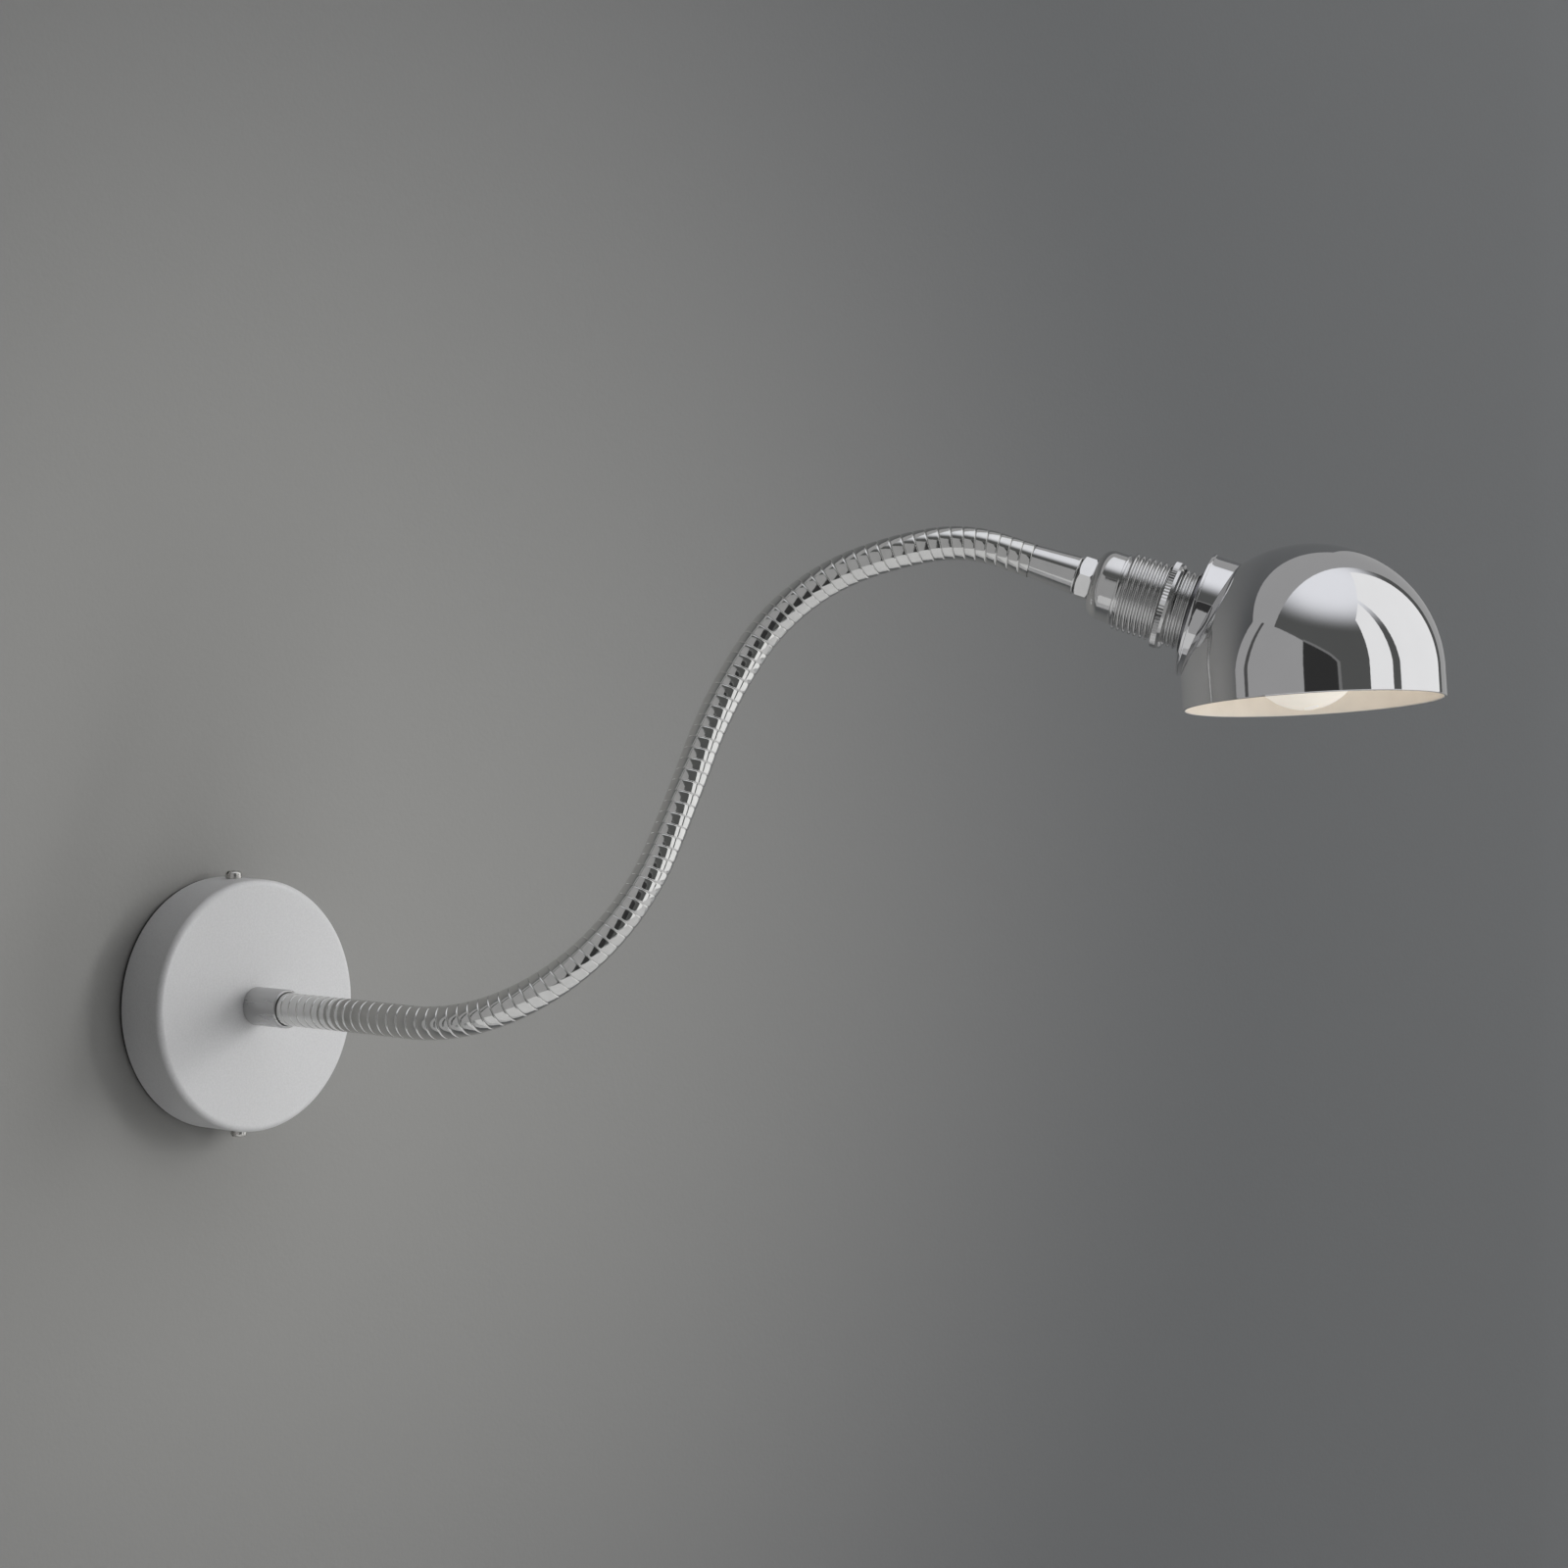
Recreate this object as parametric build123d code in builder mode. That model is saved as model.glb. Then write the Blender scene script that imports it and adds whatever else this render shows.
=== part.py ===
"""Gooseneck wall sconce: a round rose on the wall, a bent gooseneck arm, a threaded lampholder and a dome shade.

Millimetres. +X points straight out of the wall, +Z is up, and the origin is the middle of the rose on the wall.
The head's pieces are placed by their distance along the head's own axis, from the end of the gooseneck.
"""

import os
from math import cos, pi, radians, sin, sqrt

from build123d import *

# Clearances
seat_clearance = 0.05  # between faces that rest on each other across a moving joint
thread_clearance = 0.02  # between a thread and the hole it is screwed into, on the radius
turning_clearance = 0.05  # between the shade's hole and the thread that it turns on, on the radius
hole_clearance = 0.15  # round a screw or a nipple in a plain hole, on the radius

# Wall rose
rose_radius = 46.0
rose_depth = 22.0
rose_wall = 1.2
rose_edge_radius = 2.2
gasket_thickness = 1.0
gasket_width = 1.1
gasket_inset = 0.2  # how far the gasket stays inside the cover's outside

# Wall bracket: a strap with a lug bent out at each end
bracket_thickness = 1.5
bracket_width = 30.0
bracket_plate_height = 72.0
lug_width = 12.0
lug_thickness = 2.0
lug_depth = 14.5
lug_gap = 0.9  # between the lug's flat outside and the cover's inside, at the middle
wall_slot_spacing = 62.0
wall_slot_length = 8.0
wall_slot_width = 4.5
cable_inlet_radius = 7.0
cable_inlet_drop = 14.0  # how far the inlet lies below the middle

# Rim screws that hold the cover to the lugs
rim_screw_out = 10.0  # from the wall
rim_screw_radius = 1.5
rim_screw_head_radius = 3.0
rim_screw_head_height = 2.7
rim_screw_head_rounding = 1.2
rim_screw_length = 5.5
screw_slot_width = 0.8
screw_slot_depth = 1.0

# Earth screw on the strap
earth_screw_across = 10.5
earth_screw_drop = 3.0
earth_screw_radius = 2.0
earth_screw_head_radius = 3.5
earth_screw_head_height = 2.2
earth_washer_radius = 4.3
earth_washer_thickness = 0.8

# Terminal block
block_width = 29.0
block_height = 14.5
block_thickness = 11.5
block_corner_radius = 1.0
block_lift = 9.5  # from the middle up to the block's underside
pole_spacing = 9.0
pole_radius = 2.55
pole_bore_radius = 1.7
pole_inset = 1.0  # how far each end of a pole stays inside the block
pole_out = 5.0  # from the strap to a pole's axis
terminal_screw_radius = 1.3
terminal_screw_length = 3.4
terminal_screw_spacing = 7.0
terminal_well_radius = 2.0
block_screw_radius = 1.25
block_screw_head_radius = 1.8
block_screw_head_height = 1.6

# Threaded nipple through the rose, with its nut, washer and bush
nipple_radius = 5.0
nipple_bore_radius = 3.8
nipple_inside_length = 8.5  # behind the rose's front face
nipple_in_ferrule = 5.5
locknut_across_flats = 14.0
locknut_thickness = 4.0
washer_radius = 8.5
washer_thickness = 1.0
washer_teeth = 16
washer_tooth_depth = 0.9
bush_bore_radius = 3.0
bush_flange_radius = 5.6
bush_flange_thickness = 1.2
bush_length = 3.5

# Ferrule on the rose
rose_ferrule_radius = 7.0
rose_ferrule_length = 17.0
rose_ferrule_chamfer = 0.4
neck_in_ferrule = 10.0

# Gooseneck
neck_radius = 6.0
neck_groove_depth = 0.6
neck_bore_radius = 4.0
rib_pitch = 4.18
rib_shoulder = 0.14  # share of a rib's pitch that each shoulder takes
neck_in_bore_clearance = 0.15

# The arm's course from the rose ferrule: a straight run, eight even bends, each to a new direction, and a straight end.
# A heading is turned round from straight out towards +Y, and a climb is above level, both in degrees.
straight_run = 38.0
bend_1_length, bend_1_heading, bend_1_climb = 25.0, 10.5, -2.5
bend_2_length, bend_2_heading, bend_2_climb = 77.5, 52.5, 43.0
bend_3_length, bend_3_heading, bend_3_climb = 42.5, 82.5, 61.0
bend_4_length, bend_4_heading, bend_4_climb = 37.0, 89.0, 61.5
bend_5_length, bend_5_heading, bend_5_climb = 41.5, 64.0, 54.0
bend_6_length, bend_6_heading, bend_6_climb = 51.5, 35.0, 19.5
bend_7_length, bend_7_heading, bend_7_climb = 25.0, 39.5, 9.0
bend_8_length, bend_8_heading, bend_8_climb = 25.0, 33.0, -18.5
straight_end = 12.0

# Ribs in each stretch of the gooseneck, from the wall: stiff runs, with a flexing zone between each two
run_ribs = (4, 4, 6, 7, 7, 6)
flex_ribs = 9

# Three-core lead inside the gooseneck, and its cores
lead_radius = 2.7
lead_end_from_poles = 2.5  # from the poles' axis out to the lead's end in the rose
lead_tail_in_cap = 0.4  # past the head nipple
core_radius = 0.95
core_ring_radius = 1.35
core_corner_radius = 1.5
core_below_pole = 2.0  # from a core's corner up to the terminal block
core_in_pole = 5.0
core_to_screw_gap = 0.1

# Ferrule at the head, with its spigot in the gooseneck
head_ferrule_length = 17.1
head_ferrule_start_radius = 5.8
head_ferrule_end_radius = 6.85
head_ferrule_chamfer = 0.4
spigot_length = 8.0
spigot_clearance = 0.08
lead_hole_radius = 3.0
nipple_in_head_ferrule = 7.5

# Nut between the ferrule and the lampholder's cap
nut_gap = 0.15
nut_thickness = 5.4
nut_across_flats = 14.0
nut_chamfer = 1.1
nut_chamfer_radius = 6.2  # of the nut's face inside its chamfer
nut_turn = 19.0  # of a corner, from the head's upward direction, in degrees

# Lampholder cap
cap_length = 10.5
cap_radius = 12.5
cap_shoulder_radius = 5.0
cap_wall = 1.2
cap_boss_radius = 7.5
cap_boss_length = 5.5
cap_bead_height = 0.4
cap_bead_width = 0.9

# Lampholder body with its outside thread
shell_gap = 0.9  # between the cap and the thread
shell_length = 35.8
shell_thread_radius = 14.0
shell_thread_depth = 0.95
shell_thread_pitch = 2.05
shell_crest_start = 0.35  # of a turn's pitch, where its crest starts and ends and where its flank ends
shell_crest_end = 0.60
shell_flank_end = 0.95
shell_bore_radius = 11.8
shell_neck_radius = 12.0

# Rings on the body's thread
knurled_ring_at = 48.9
knurled_ring_width = 3.8
knurled_ring_radius = 15.7
knurl_count = 84
knurl_depth = 0.3
knurled_lip_width = 1.8
knurled_lip_chamfer = 0.7
seat_ring_width = 1.7
seat_ring_radius = 14.7
lock_ring_thickness = 3.0
lock_ring_radius = 18.5
lock_ring_notches = 6
lock_ring_notch_radius = 1.5

# Lamp socket inside the body
insulator_radius = 11.7
insulator_at = 40.0
insulator_length = 26.0
insulator_floor = 3.0
socket_wall = 0.8
socket_bore_radius = 7.1
socket_start = 45.0
socket_length = 20.0
socket_fit = 0.05
centre_contact_radius = 3.0
centre_contact_height = 1.3
centre_contact_plate = 0.6
centre_contact_tip_radius = 1.8
terminal_out = 6.2  # from the head's axis
terminal_size = 4.4
terminal_length = 4.5
holder_screw_head_radius = 1.9
holder_screw_head_height = 1.0
earth_tag_thickness = 1.4
earth_tag_width = 7.9

# Lamp
lamp_radius = 21.0
lamp_centre = 100.5
lamp_glass_wall = 1.0
lamp_cap_radius = 6.95
lamp_cap_thread_depth = 0.65
lamp_cap_wall = 0.4
lamp_cap_pitch = 2.8
lamp_cap_turns = 5
lamp_cap_crest_start = 0.35  # of a turn's pitch, where its crest starts and ends
lamp_cap_crest_end = 0.65
lamp_cap_skirt = 4.0
lamp_contact_radius = 2.4
lamp_contact_shoulder_radius = 2.15
lamp_contact_tip_radius = 1.2
lamp_contact_height = 1.6
lamp_contact_gap = 0.05
lamp_base_height = 3.4
lamp_base_radius = 3.2
lamp_neck_radius = 7.2
lamp_neck_inset = 6.0
bulb_neck_angle = 150.0  # where the neck meets the ball, round from the ball's far end
lamp_neck_rise = 0.3  # of the way out to the ball, what the neck has made half way along
lamp_stem_radius = 2.0
lamp_stem_length = 24.0
filament_radius = 0.35
filament_reach = 8.0
filament_bend_radius = 1.2

# Shade: a collar with a back plate, and a dome cut by it
shade_plate_at = 60.5
shade_plate_thickness = 1.0
collar_rim_radius = 22.3
collar_radius = 21.9
collar_wall = 0.8
dome_radius = 46.0
dome_wall = 1.2
dome_skirt = 10.0
collar_least_depth = 2.1  # from the back plate to the dome, where the two are closest
dome_centre_drop = 7.4  # from the head's axis
dome_axis_angle = 68.0  # between the head's axis and the dome's
shade_roll = -8.2  # how far the shade is turned on the head, at rest
joint_line = 0.03  # between the collar and the dome
dome_centre_from_plate = collar_least_depth + sqrt(dome_radius**2 - (collar_radius - dome_centre_drop) ** 2)

os.makedirs("parts", exist_ok=True)


def keep(piece, name):
    """Labels a finished piece and writes its file."""
    piece.part.label = name
    export_step(piece.part, f"parts/{name}.step")


def turn(plane, axis, outline, mode=Mode.ADD):
    """Turns an outline of (distance along the axis, radius) points about the axis."""
    with BuildSketch(plane) as profile:
        with BuildLine():
            Polyline(*outline, close=True)
        make_face()
    revolve(profile.sketch, axis=axis, mode=mode)


def tube(plane, axis, start, end, outer, inner, mode=Mode.ADD):
    """Adds a plain tube about the axis."""
    turn(plane, axis, [(start, inner), (end, inner), (end, outer), (start, outer)], mode)


def direction(heading, climb):
    """Unit vector of a heading and a climb in degrees."""
    level = cos(radians(climb))
    return Vector(level * cos(radians(heading)), level * sin(radians(heading)), sin(radians(climb)))


def square_to(vector, axis):
    """The part of a vector that is square to an axis, at length 1."""
    return (vector - axis * vector.dot(axis)).normalized()


# ---------------------------------------------------------------- The arm's course

up = Vector(0, 0, 1)
out_of_wall = Vector(1, 0, 0)
arm_start = out_of_wall * (rose_depth + rose_ferrule_length)
steady_axis = Vector(0, -0.88, 0.47)  # never in line with the arm, so rib profiles don't twist

bends = (
    (bend_1_length, direction(bend_1_heading, bend_1_climb)),
    (bend_2_length, direction(bend_2_heading, bend_2_climb)),
    (bend_3_length, direction(bend_3_heading, bend_3_climb)),
    (bend_4_length, direction(bend_4_heading, bend_4_climb)),
    (bend_5_length, direction(bend_5_heading, bend_5_climb)),
    (bend_6_length, direction(bend_6_heading, bend_6_climb)),
    (bend_7_length, direction(bend_7_heading, bend_7_climb)),
    (bend_8_length, direction(bend_8_heading, bend_8_climb)),
)
arm_length = straight_run + sum(length for length, _ in bends) + straight_end


def course(distance):
    """The centreline's point and direction at a distance along the arm from the rose ferrule."""
    point, heading = arm_start, out_of_wall
    if distance <= straight_run:
        return point + heading * distance, heading
    point += heading * straight_run
    left = distance - straight_run
    for length, target in bends:
        angle = radians(heading.get_angle(target))
        radius = length / angle
        inwards = square_to(target, heading)
        turned = min(left, length) / radius
        here = point + (heading * sin(turned) + inwards * (1 - cos(turned))) * radius
        facing = (heading * cos(turned) + inwards * sin(turned)).normalized()
        if left <= length:
            return here, facing
        point, heading = here, target
        left -= length
    return point + heading * left, heading


def course_plane(distance):
    """A plane square to the arm, with a steady X axis."""
    point, facing = course(distance)
    return Plane(origin=point, x_dir=square_to(steady_axis, facing), z_dir=facing)


bend_starts = [straight_run]
for length, _ in bends:
    bend_starts.append(bend_starts[-1] + length)

# ---------------------------------------------------------------- Wall rose

rose_side = Plane.XZ
rose_inside_radius = rose_radius - rose_wall
nipple_hole_radius = nipple_radius + hole_clearance

with BuildPart() as rose_cover:
    with BuildSketch(rose_side):
        with BuildLine():
            edge_start = rose_depth - rose_edge_radius
            flat_radius = rose_radius - rose_edge_radius
            inside_face = rose_depth - rose_wall
            Line((gasket_thickness, rose_radius), (edge_start, rose_radius))
            CenterArc((edge_start, flat_radius), rose_edge_radius, 0, 90)
            Line((rose_depth, flat_radius), (rose_depth, nipple_hole_radius))
            Line((rose_depth, nipple_hole_radius), (inside_face, nipple_hole_radius))
            Line((inside_face, nipple_hole_radius), (inside_face, flat_radius))
            CenterArc((edge_start, flat_radius), rose_edge_radius - rose_wall, 0, 90)
            Line((edge_start, rose_inside_radius), (gasket_thickness, rose_inside_radius))
            Line((gasket_thickness, rose_inside_radius), (gasket_thickness, rose_radius))
        make_face()
    revolve(axis=Axis.X)
    with BuildSketch(Plane.XY.offset(-2 * rose_radius)):
        with Locations((rim_screw_out, 0)):
            Circle(rim_screw_radius + hole_clearance)
    extrude(amount=4 * rose_radius, mode=Mode.SUBTRACT)
keep(rose_cover, "rose_cover")

with BuildPart() as back_gasket:
    gasket_outside = rose_radius - gasket_inset
    tube(rose_side, Axis.X, 0, gasket_thickness, gasket_outside, gasket_outside - gasket_width)
keep(back_gasket, "back_gasket")

lug_outside = rose_inside_radius - lug_gap

with BuildPart() as wall_bracket:
    with BuildSketch(Plane.YZ):
        Rectangle(bracket_width, bracket_plate_height)
        Rectangle(lug_width, 2 * lug_outside)
        with GridLocations(0, wall_slot_spacing, 1, 2):
            SlotOverall(wall_slot_length, wall_slot_width, rotation=90, mode=Mode.SUBTRACT)
        with Locations((0, -cable_inlet_drop)):
            Circle(cable_inlet_radius, mode=Mode.SUBTRACT)
        with Locations((earth_screw_across, -earth_screw_drop)):
            Circle(earth_screw_radius + thread_clearance, mode=Mode.SUBTRACT)
        with Locations((0, block_lift + block_height / 2)):
            with GridLocations(pole_spacing, 0, 2, 1):
                Circle(block_screw_radius + thread_clearance, mode=Mode.SUBTRACT)
    extrude(amount=bracket_thickness)
    for end in (1, -1):
        with BuildSketch(Plane.XY.offset(end * (lug_outside - lug_thickness))):
            Rectangle(lug_depth, lug_width, align=(Align.MIN, Align.CENTER))
        extrude(amount=end * lug_thickness)
    with BuildSketch(Plane.XY.offset(-2 * rose_radius)):
        with Locations((rim_screw_out, 0)):
            Circle(rim_screw_radius + thread_clearance)
    extrude(amount=4 * rose_radius, mode=Mode.SUBTRACT)
keep(wall_bracket, "wall_bracket")

with BuildPart() as rim_screws:
    rim_screw_plane = Plane.XY.offset(rose_radius)
    with BuildSketch(rim_screw_plane):
        with Locations((rim_screw_out, 0)):
            Circle(rim_screw_head_radius)
    extrude(amount=rim_screw_head_height)
    fillet(edges().group_by(Axis.Z)[-1], radius=rim_screw_head_rounding)
    with BuildSketch(rim_screw_plane):
        with Locations((rim_screw_out, 0)):
            Circle(rim_screw_radius)
    extrude(amount=-rim_screw_length)
    with BuildSketch(rim_screw_plane.offset(rim_screw_head_height)):
        with Locations((rim_screw_out, 0)):
            Rectangle(screw_slot_width, 3 * rim_screw_head_radius)
    extrude(amount=-screw_slot_depth, mode=Mode.SUBTRACT)
    mirror(about=Plane.XY)
keep(rim_screws, "rim_screws")

# ---------------------------------------------------------------- Earth screw and terminal block

with BuildPart() as earth_washer:
    with BuildSketch(Plane.YZ.offset(bracket_thickness)):
        with Locations((earth_screw_across, -earth_screw_drop)):
            Circle(earth_washer_radius)
            Circle(earth_screw_radius + hole_clearance, mode=Mode.SUBTRACT)
    extrude(amount=earth_washer_thickness)
keep(earth_washer, "earth_washer")

earth_head_at = bracket_thickness + earth_washer_thickness

with BuildPart() as earth_screw:
    with BuildSketch(Plane.YZ.offset(seat_clearance)):
        with Locations((earth_screw_across, -earth_screw_drop)):
            Circle(earth_screw_radius)
    extrude(amount=earth_head_at - seat_clearance)
    with BuildSketch(Plane.YZ.offset(earth_head_at)):
        with Locations((earth_screw_across, -earth_screw_drop)):
            Circle(earth_screw_head_radius)
    extrude(amount=earth_screw_head_height)
    with BuildSketch(Plane.YZ.offset(earth_head_at + earth_screw_head_height)):
        with Locations((earth_screw_across, -earth_screw_drop)):
            Rectangle(3 * earth_screw_head_radius, screw_slot_width)
    extrude(amount=-screw_slot_depth, mode=Mode.SUBTRACT)
keep(earth_screw, "earth_screw")

block_front = bracket_thickness + block_thickness
block_middle = block_lift + block_height / 2
pole_axis_out = bracket_thickness + pole_out
pole_positions = (-pole_spacing, 0.0, pole_spacing)

with BuildPart() as terminal_block:
    with BuildSketch(Plane.YZ.offset(bracket_thickness)):
        with Locations((0, block_middle)):
            RectangleRounded(block_width, block_height, block_corner_radius)
    extrude(amount=block_thickness)
    with BuildSketch(Plane.XY.offset(block_lift)):
        for across in pole_positions:
            with Locations((pole_axis_out, across)):
                Circle(pole_radius + thread_clearance)
    extrude(amount=block_height, mode=Mode.SUBTRACT)
    with BuildSketch(Plane.YZ.offset(pole_axis_out)):
        with Locations((0, block_middle)):
            with GridLocations(pole_spacing, terminal_screw_spacing, 3, 2):
                Circle(terminal_well_radius)
    extrude(amount=block_thickness, mode=Mode.SUBTRACT)
    with BuildSketch(Plane.YZ.offset(bracket_thickness)):
        with Locations((0, block_middle)):
            with GridLocations(pole_spacing, 0, 2, 1):
                Circle(block_screw_radius + hole_clearance)
    extrude(amount=block_thickness, mode=Mode.SUBTRACT)
    with BuildSketch(Plane.YZ.offset(block_front)):
        with Locations((0, block_middle)):
            with GridLocations(pole_spacing, 0, 2, 1):
                Circle(block_screw_head_radius + hole_clearance)
    extrude(amount=-block_screw_head_height, mode=Mode.SUBTRACT)
keep(terminal_block, "terminal_block")

with BuildPart() as terminal_poles:
    with BuildSketch(Plane.XY.offset(block_lift + pole_inset)):
        for across in pole_positions:
            with Locations((pole_axis_out, across)):
                Circle(pole_radius)
                Circle(pole_bore_radius, mode=Mode.SUBTRACT)
    extrude(amount=block_height - 2 * pole_inset)
    with BuildSketch(Plane.YZ.offset(pole_axis_out)):
        with Locations((0, block_middle)):
            with GridLocations(pole_spacing, terminal_screw_spacing, 3, 2):
                Circle(terminal_screw_radius + thread_clearance)
    extrude(amount=2 * pole_radius, mode=Mode.SUBTRACT)
keep(terminal_poles, "terminal_poles")

screw_tip_out = pole_axis_out + core_radius + core_to_screw_gap

with BuildPart() as terminal_screws:
    with BuildSketch(Plane.YZ.offset(screw_tip_out)):
        with Locations((0, block_middle)):
            with GridLocations(pole_spacing, terminal_screw_spacing, 3, 2):
                Circle(terminal_screw_radius)
    extrude(amount=terminal_screw_length)
    with BuildSketch(Plane.YZ.offset(screw_tip_out + terminal_screw_length)):
        with Locations((0, block_middle)):
            with GridLocations(pole_spacing, terminal_screw_spacing, 3, 2):
                Rectangle(3 * terminal_screw_radius, screw_slot_width / 2)
    extrude(amount=-screw_slot_depth / 2, mode=Mode.SUBTRACT)
keep(terminal_screws, "terminal_screws")

with BuildPart() as block_screws:
    with BuildSketch(Plane.YZ.offset(seat_clearance)):
        with Locations((0, block_middle)):
            with GridLocations(pole_spacing, 0, 2, 1):
                Circle(block_screw_radius)
    extrude(amount=block_front - block_screw_head_height - seat_clearance)
    with BuildSketch(Plane.YZ.offset(block_front - block_screw_head_height)):
        with Locations((0, block_middle)):
            with GridLocations(pole_spacing, 0, 2, 1):
                Circle(block_screw_head_radius)
    extrude(amount=block_screw_head_height - seat_clearance)
keep(block_screws, "block_screws")

# ---------------------------------------------------------------- Nipple, nut, washer, bush and ferrule

inside_face = rose_depth - rose_wall
washer_back = inside_face - washer_thickness
locknut_back = washer_back - locknut_thickness
nipple_back = rose_depth - nipple_inside_length
nipple_front = rose_depth + nipple_in_ferrule

with BuildPart() as rose_nipple:
    tube(rose_side, Axis.X, nipple_back, nipple_front, nipple_radius, nipple_bore_radius)
keep(rose_nipple, "rose_nipple")

with BuildPart() as toothed_washer:
    with BuildSketch(Plane.YZ.offset(washer_back)):
        Circle(washer_radius)
        Circle(nipple_radius + hole_clearance, mode=Mode.SUBTRACT)
        with PolarLocations(washer_radius, washer_teeth):
            Rectangle(2 * washer_tooth_depth, washer_tooth_depth, mode=Mode.SUBTRACT)
    extrude(amount=washer_thickness)
keep(toothed_washer, "toothed_washer")

with BuildPart() as rose_locknut:
    with BuildSketch(Plane.YZ.offset(locknut_back)):
        RegularPolygon(locknut_across_flats / 2, 6, major_radius=False)
        Circle(nipple_radius + thread_clearance, mode=Mode.SUBTRACT)
    extrude(amount=locknut_thickness)
keep(rose_locknut, "rose_locknut")

bush_back = nipple_back - bush_flange_thickness

with BuildPart() as nipple_bush:
    tube(rose_side, Axis.X, bush_back, nipple_back, bush_flange_radius, bush_bore_radius)
    sleeve_radius = nipple_bore_radius - seat_clearance
    tube(rose_side, Axis.X, nipple_back, nipple_back + bush_length, sleeve_radius, bush_bore_radius)
keep(nipple_bush, "nipple_bush")

rose_ferrule_end = rose_depth + rose_ferrule_length
neck_pocket = rose_ferrule_end - neck_in_ferrule
neck_pocket_radius = neck_radius + neck_in_bore_clearance

with BuildPart() as rose_ferrule:
    turn(
        rose_side,
        Axis.X,
        [
            (rose_depth, nipple_radius + thread_clearance),
            (nipple_front, nipple_radius + thread_clearance),
            (nipple_front, nipple_bore_radius),
            (neck_pocket, nipple_bore_radius),
            (neck_pocket, neck_pocket_radius),
            (rose_ferrule_end, neck_pocket_radius),
            (rose_ferrule_end, rose_ferrule_radius - rose_ferrule_chamfer),
            (rose_ferrule_end - rose_ferrule_chamfer, rose_ferrule_radius),
            (rose_depth, rose_ferrule_radius),
        ],
    )
keep(rose_ferrule, "rose_ferrule")

# ---------------------------------------------------------------- Gooseneck

neck_length = neck_in_ferrule + arm_length
rib_count = round(neck_length / rib_pitch)
pitch = neck_length / rib_count
groove_radius = neck_radius - neck_groove_depth


def rib_place(ribs):
    """Distance along the arm, this many ribs from the gooseneck's end in the rose ferrule."""
    return -neck_in_ferrule + ribs * pitch


def circles(places):
    """Circles square to the arm, from (distance along the arm, radius) pairs."""
    sections = []
    for distance, radius in places:
        with BuildSketch(course_plane(distance)) as section:
            Circle(radius)
        sections.append(section.sketch)
    return sections


def ribbed_stretch(first, count):
    """Ribs with a bore: each rib is a ruled loft through four circles."""
    outside = []
    for rib in range(first, first + count):
        outside.append((rib_place(rib), groove_radius))
        outside.append((rib_place(rib + rib_shoulder), neck_radius))
        outside.append((rib_place(rib + 1 - rib_shoulder), neck_radius))
    outside.append((rib_place(first + count), groove_radius))
    loft(sections=circles(outside), ruled=True)
    bore = [(rib_place(rib), neck_bore_radius) for rib in range(first, first + count + 1)]
    loft(sections=circles(bore), ruled=True, mode=Mode.SUBTRACT)


stretches = []
rib = 0
for number, count in enumerate(run_ribs, start=1):
    stretches.append((f"gooseneck_run_{number}", rib, count))
    rib += count
    stretches.append((f"gooseneck_flex_{number}", rib, flex_ribs))
    rib += flex_ribs
stretches.append((f"gooseneck_run_{len(run_ribs) + 1}", rib, rib_count - rib))

for name, first, count in stretches:
    with BuildPart() as stretch:
        ribbed_stretch(first, count)
    keep(stretch, name)
    middle, facing = course(rib_place(first + count / 2))
    print(name, "middle", [round(v, 2) for v in middle], "facing", [round(v, 4) for v in facing])

# ---------------------------------------------------------------- The head's own axis

head_start, head_facing = course(arm_length)
head_up = square_to(up, head_facing)
head_axis = Axis(head_start, head_facing)
head_side = Plane(origin=head_start, x_dir=head_facing, z_dir=head_facing.cross(head_up))


def head_plane(along):
    """A plane square to the head's axis, with its X axis upwards."""
    return Plane(origin=head_start + head_facing * along, x_dir=head_up, z_dir=head_facing)


spigot_radius = neck_bore_radius - spigot_clearance
head_nipple_start = head_ferrule_length - nipple_in_head_ferrule
nipple_thread_hole = nipple_radius + thread_clearance

with BuildPart() as head_ferrule:
    turn(
        head_side,
        head_axis,
        [
            (-spigot_length, lead_hole_radius),
            (head_nipple_start, lead_hole_radius),
            (head_nipple_start, nipple_thread_hole),
            (head_ferrule_length, nipple_thread_hole),
            (head_ferrule_length, head_ferrule_end_radius - head_ferrule_chamfer),
            (head_ferrule_length - head_ferrule_chamfer, head_ferrule_end_radius),
            (0, head_ferrule_start_radius),
            (0, spigot_radius),
            (-spigot_length, spigot_radius),
        ],
    )
keep(head_ferrule, "head_ferrule")

nut_start = head_ferrule_length + nut_gap
cap_start = nut_start + nut_thickness + nut_gap
cap_end = cap_start + cap_length
boss_end = cap_start + cap_boss_length
head_nipple_end = boss_end - seat_clearance

with BuildPart() as head_nipple:
    tube(head_side, head_axis, head_nipple_start, head_nipple_end, nipple_radius, lead_hole_radius)
keep(head_nipple, "head_nipple")

nut_corner_radius = nut_across_flats / 2 / cos(radians(30))

with BuildPart() as hex_nut:
    with BuildSketch(head_plane(nut_start)):
        RegularPolygon(nut_corner_radius, 6, rotation=nut_turn)
        Circle(nipple_thread_hole, mode=Mode.SUBTRACT)
    extrude(amount=nut_thickness)
    nut_end = nut_start + nut_thickness
    turn(
        head_side,
        head_axis,
        [
            (nut_start, 0),
            (nut_start, nut_chamfer_radius),
            (nut_start + nut_chamfer, nut_corner_radius),
            (nut_end - nut_chamfer / 2, nut_corner_radius),
            (nut_end, nut_corner_radius - nut_chamfer / 2),
            (nut_end, 0),
        ],
        Mode.INTERSECT,
    )
keep(hex_nut, "hex_nut")

# ---------------------------------------------------------------- Lampholder

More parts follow.
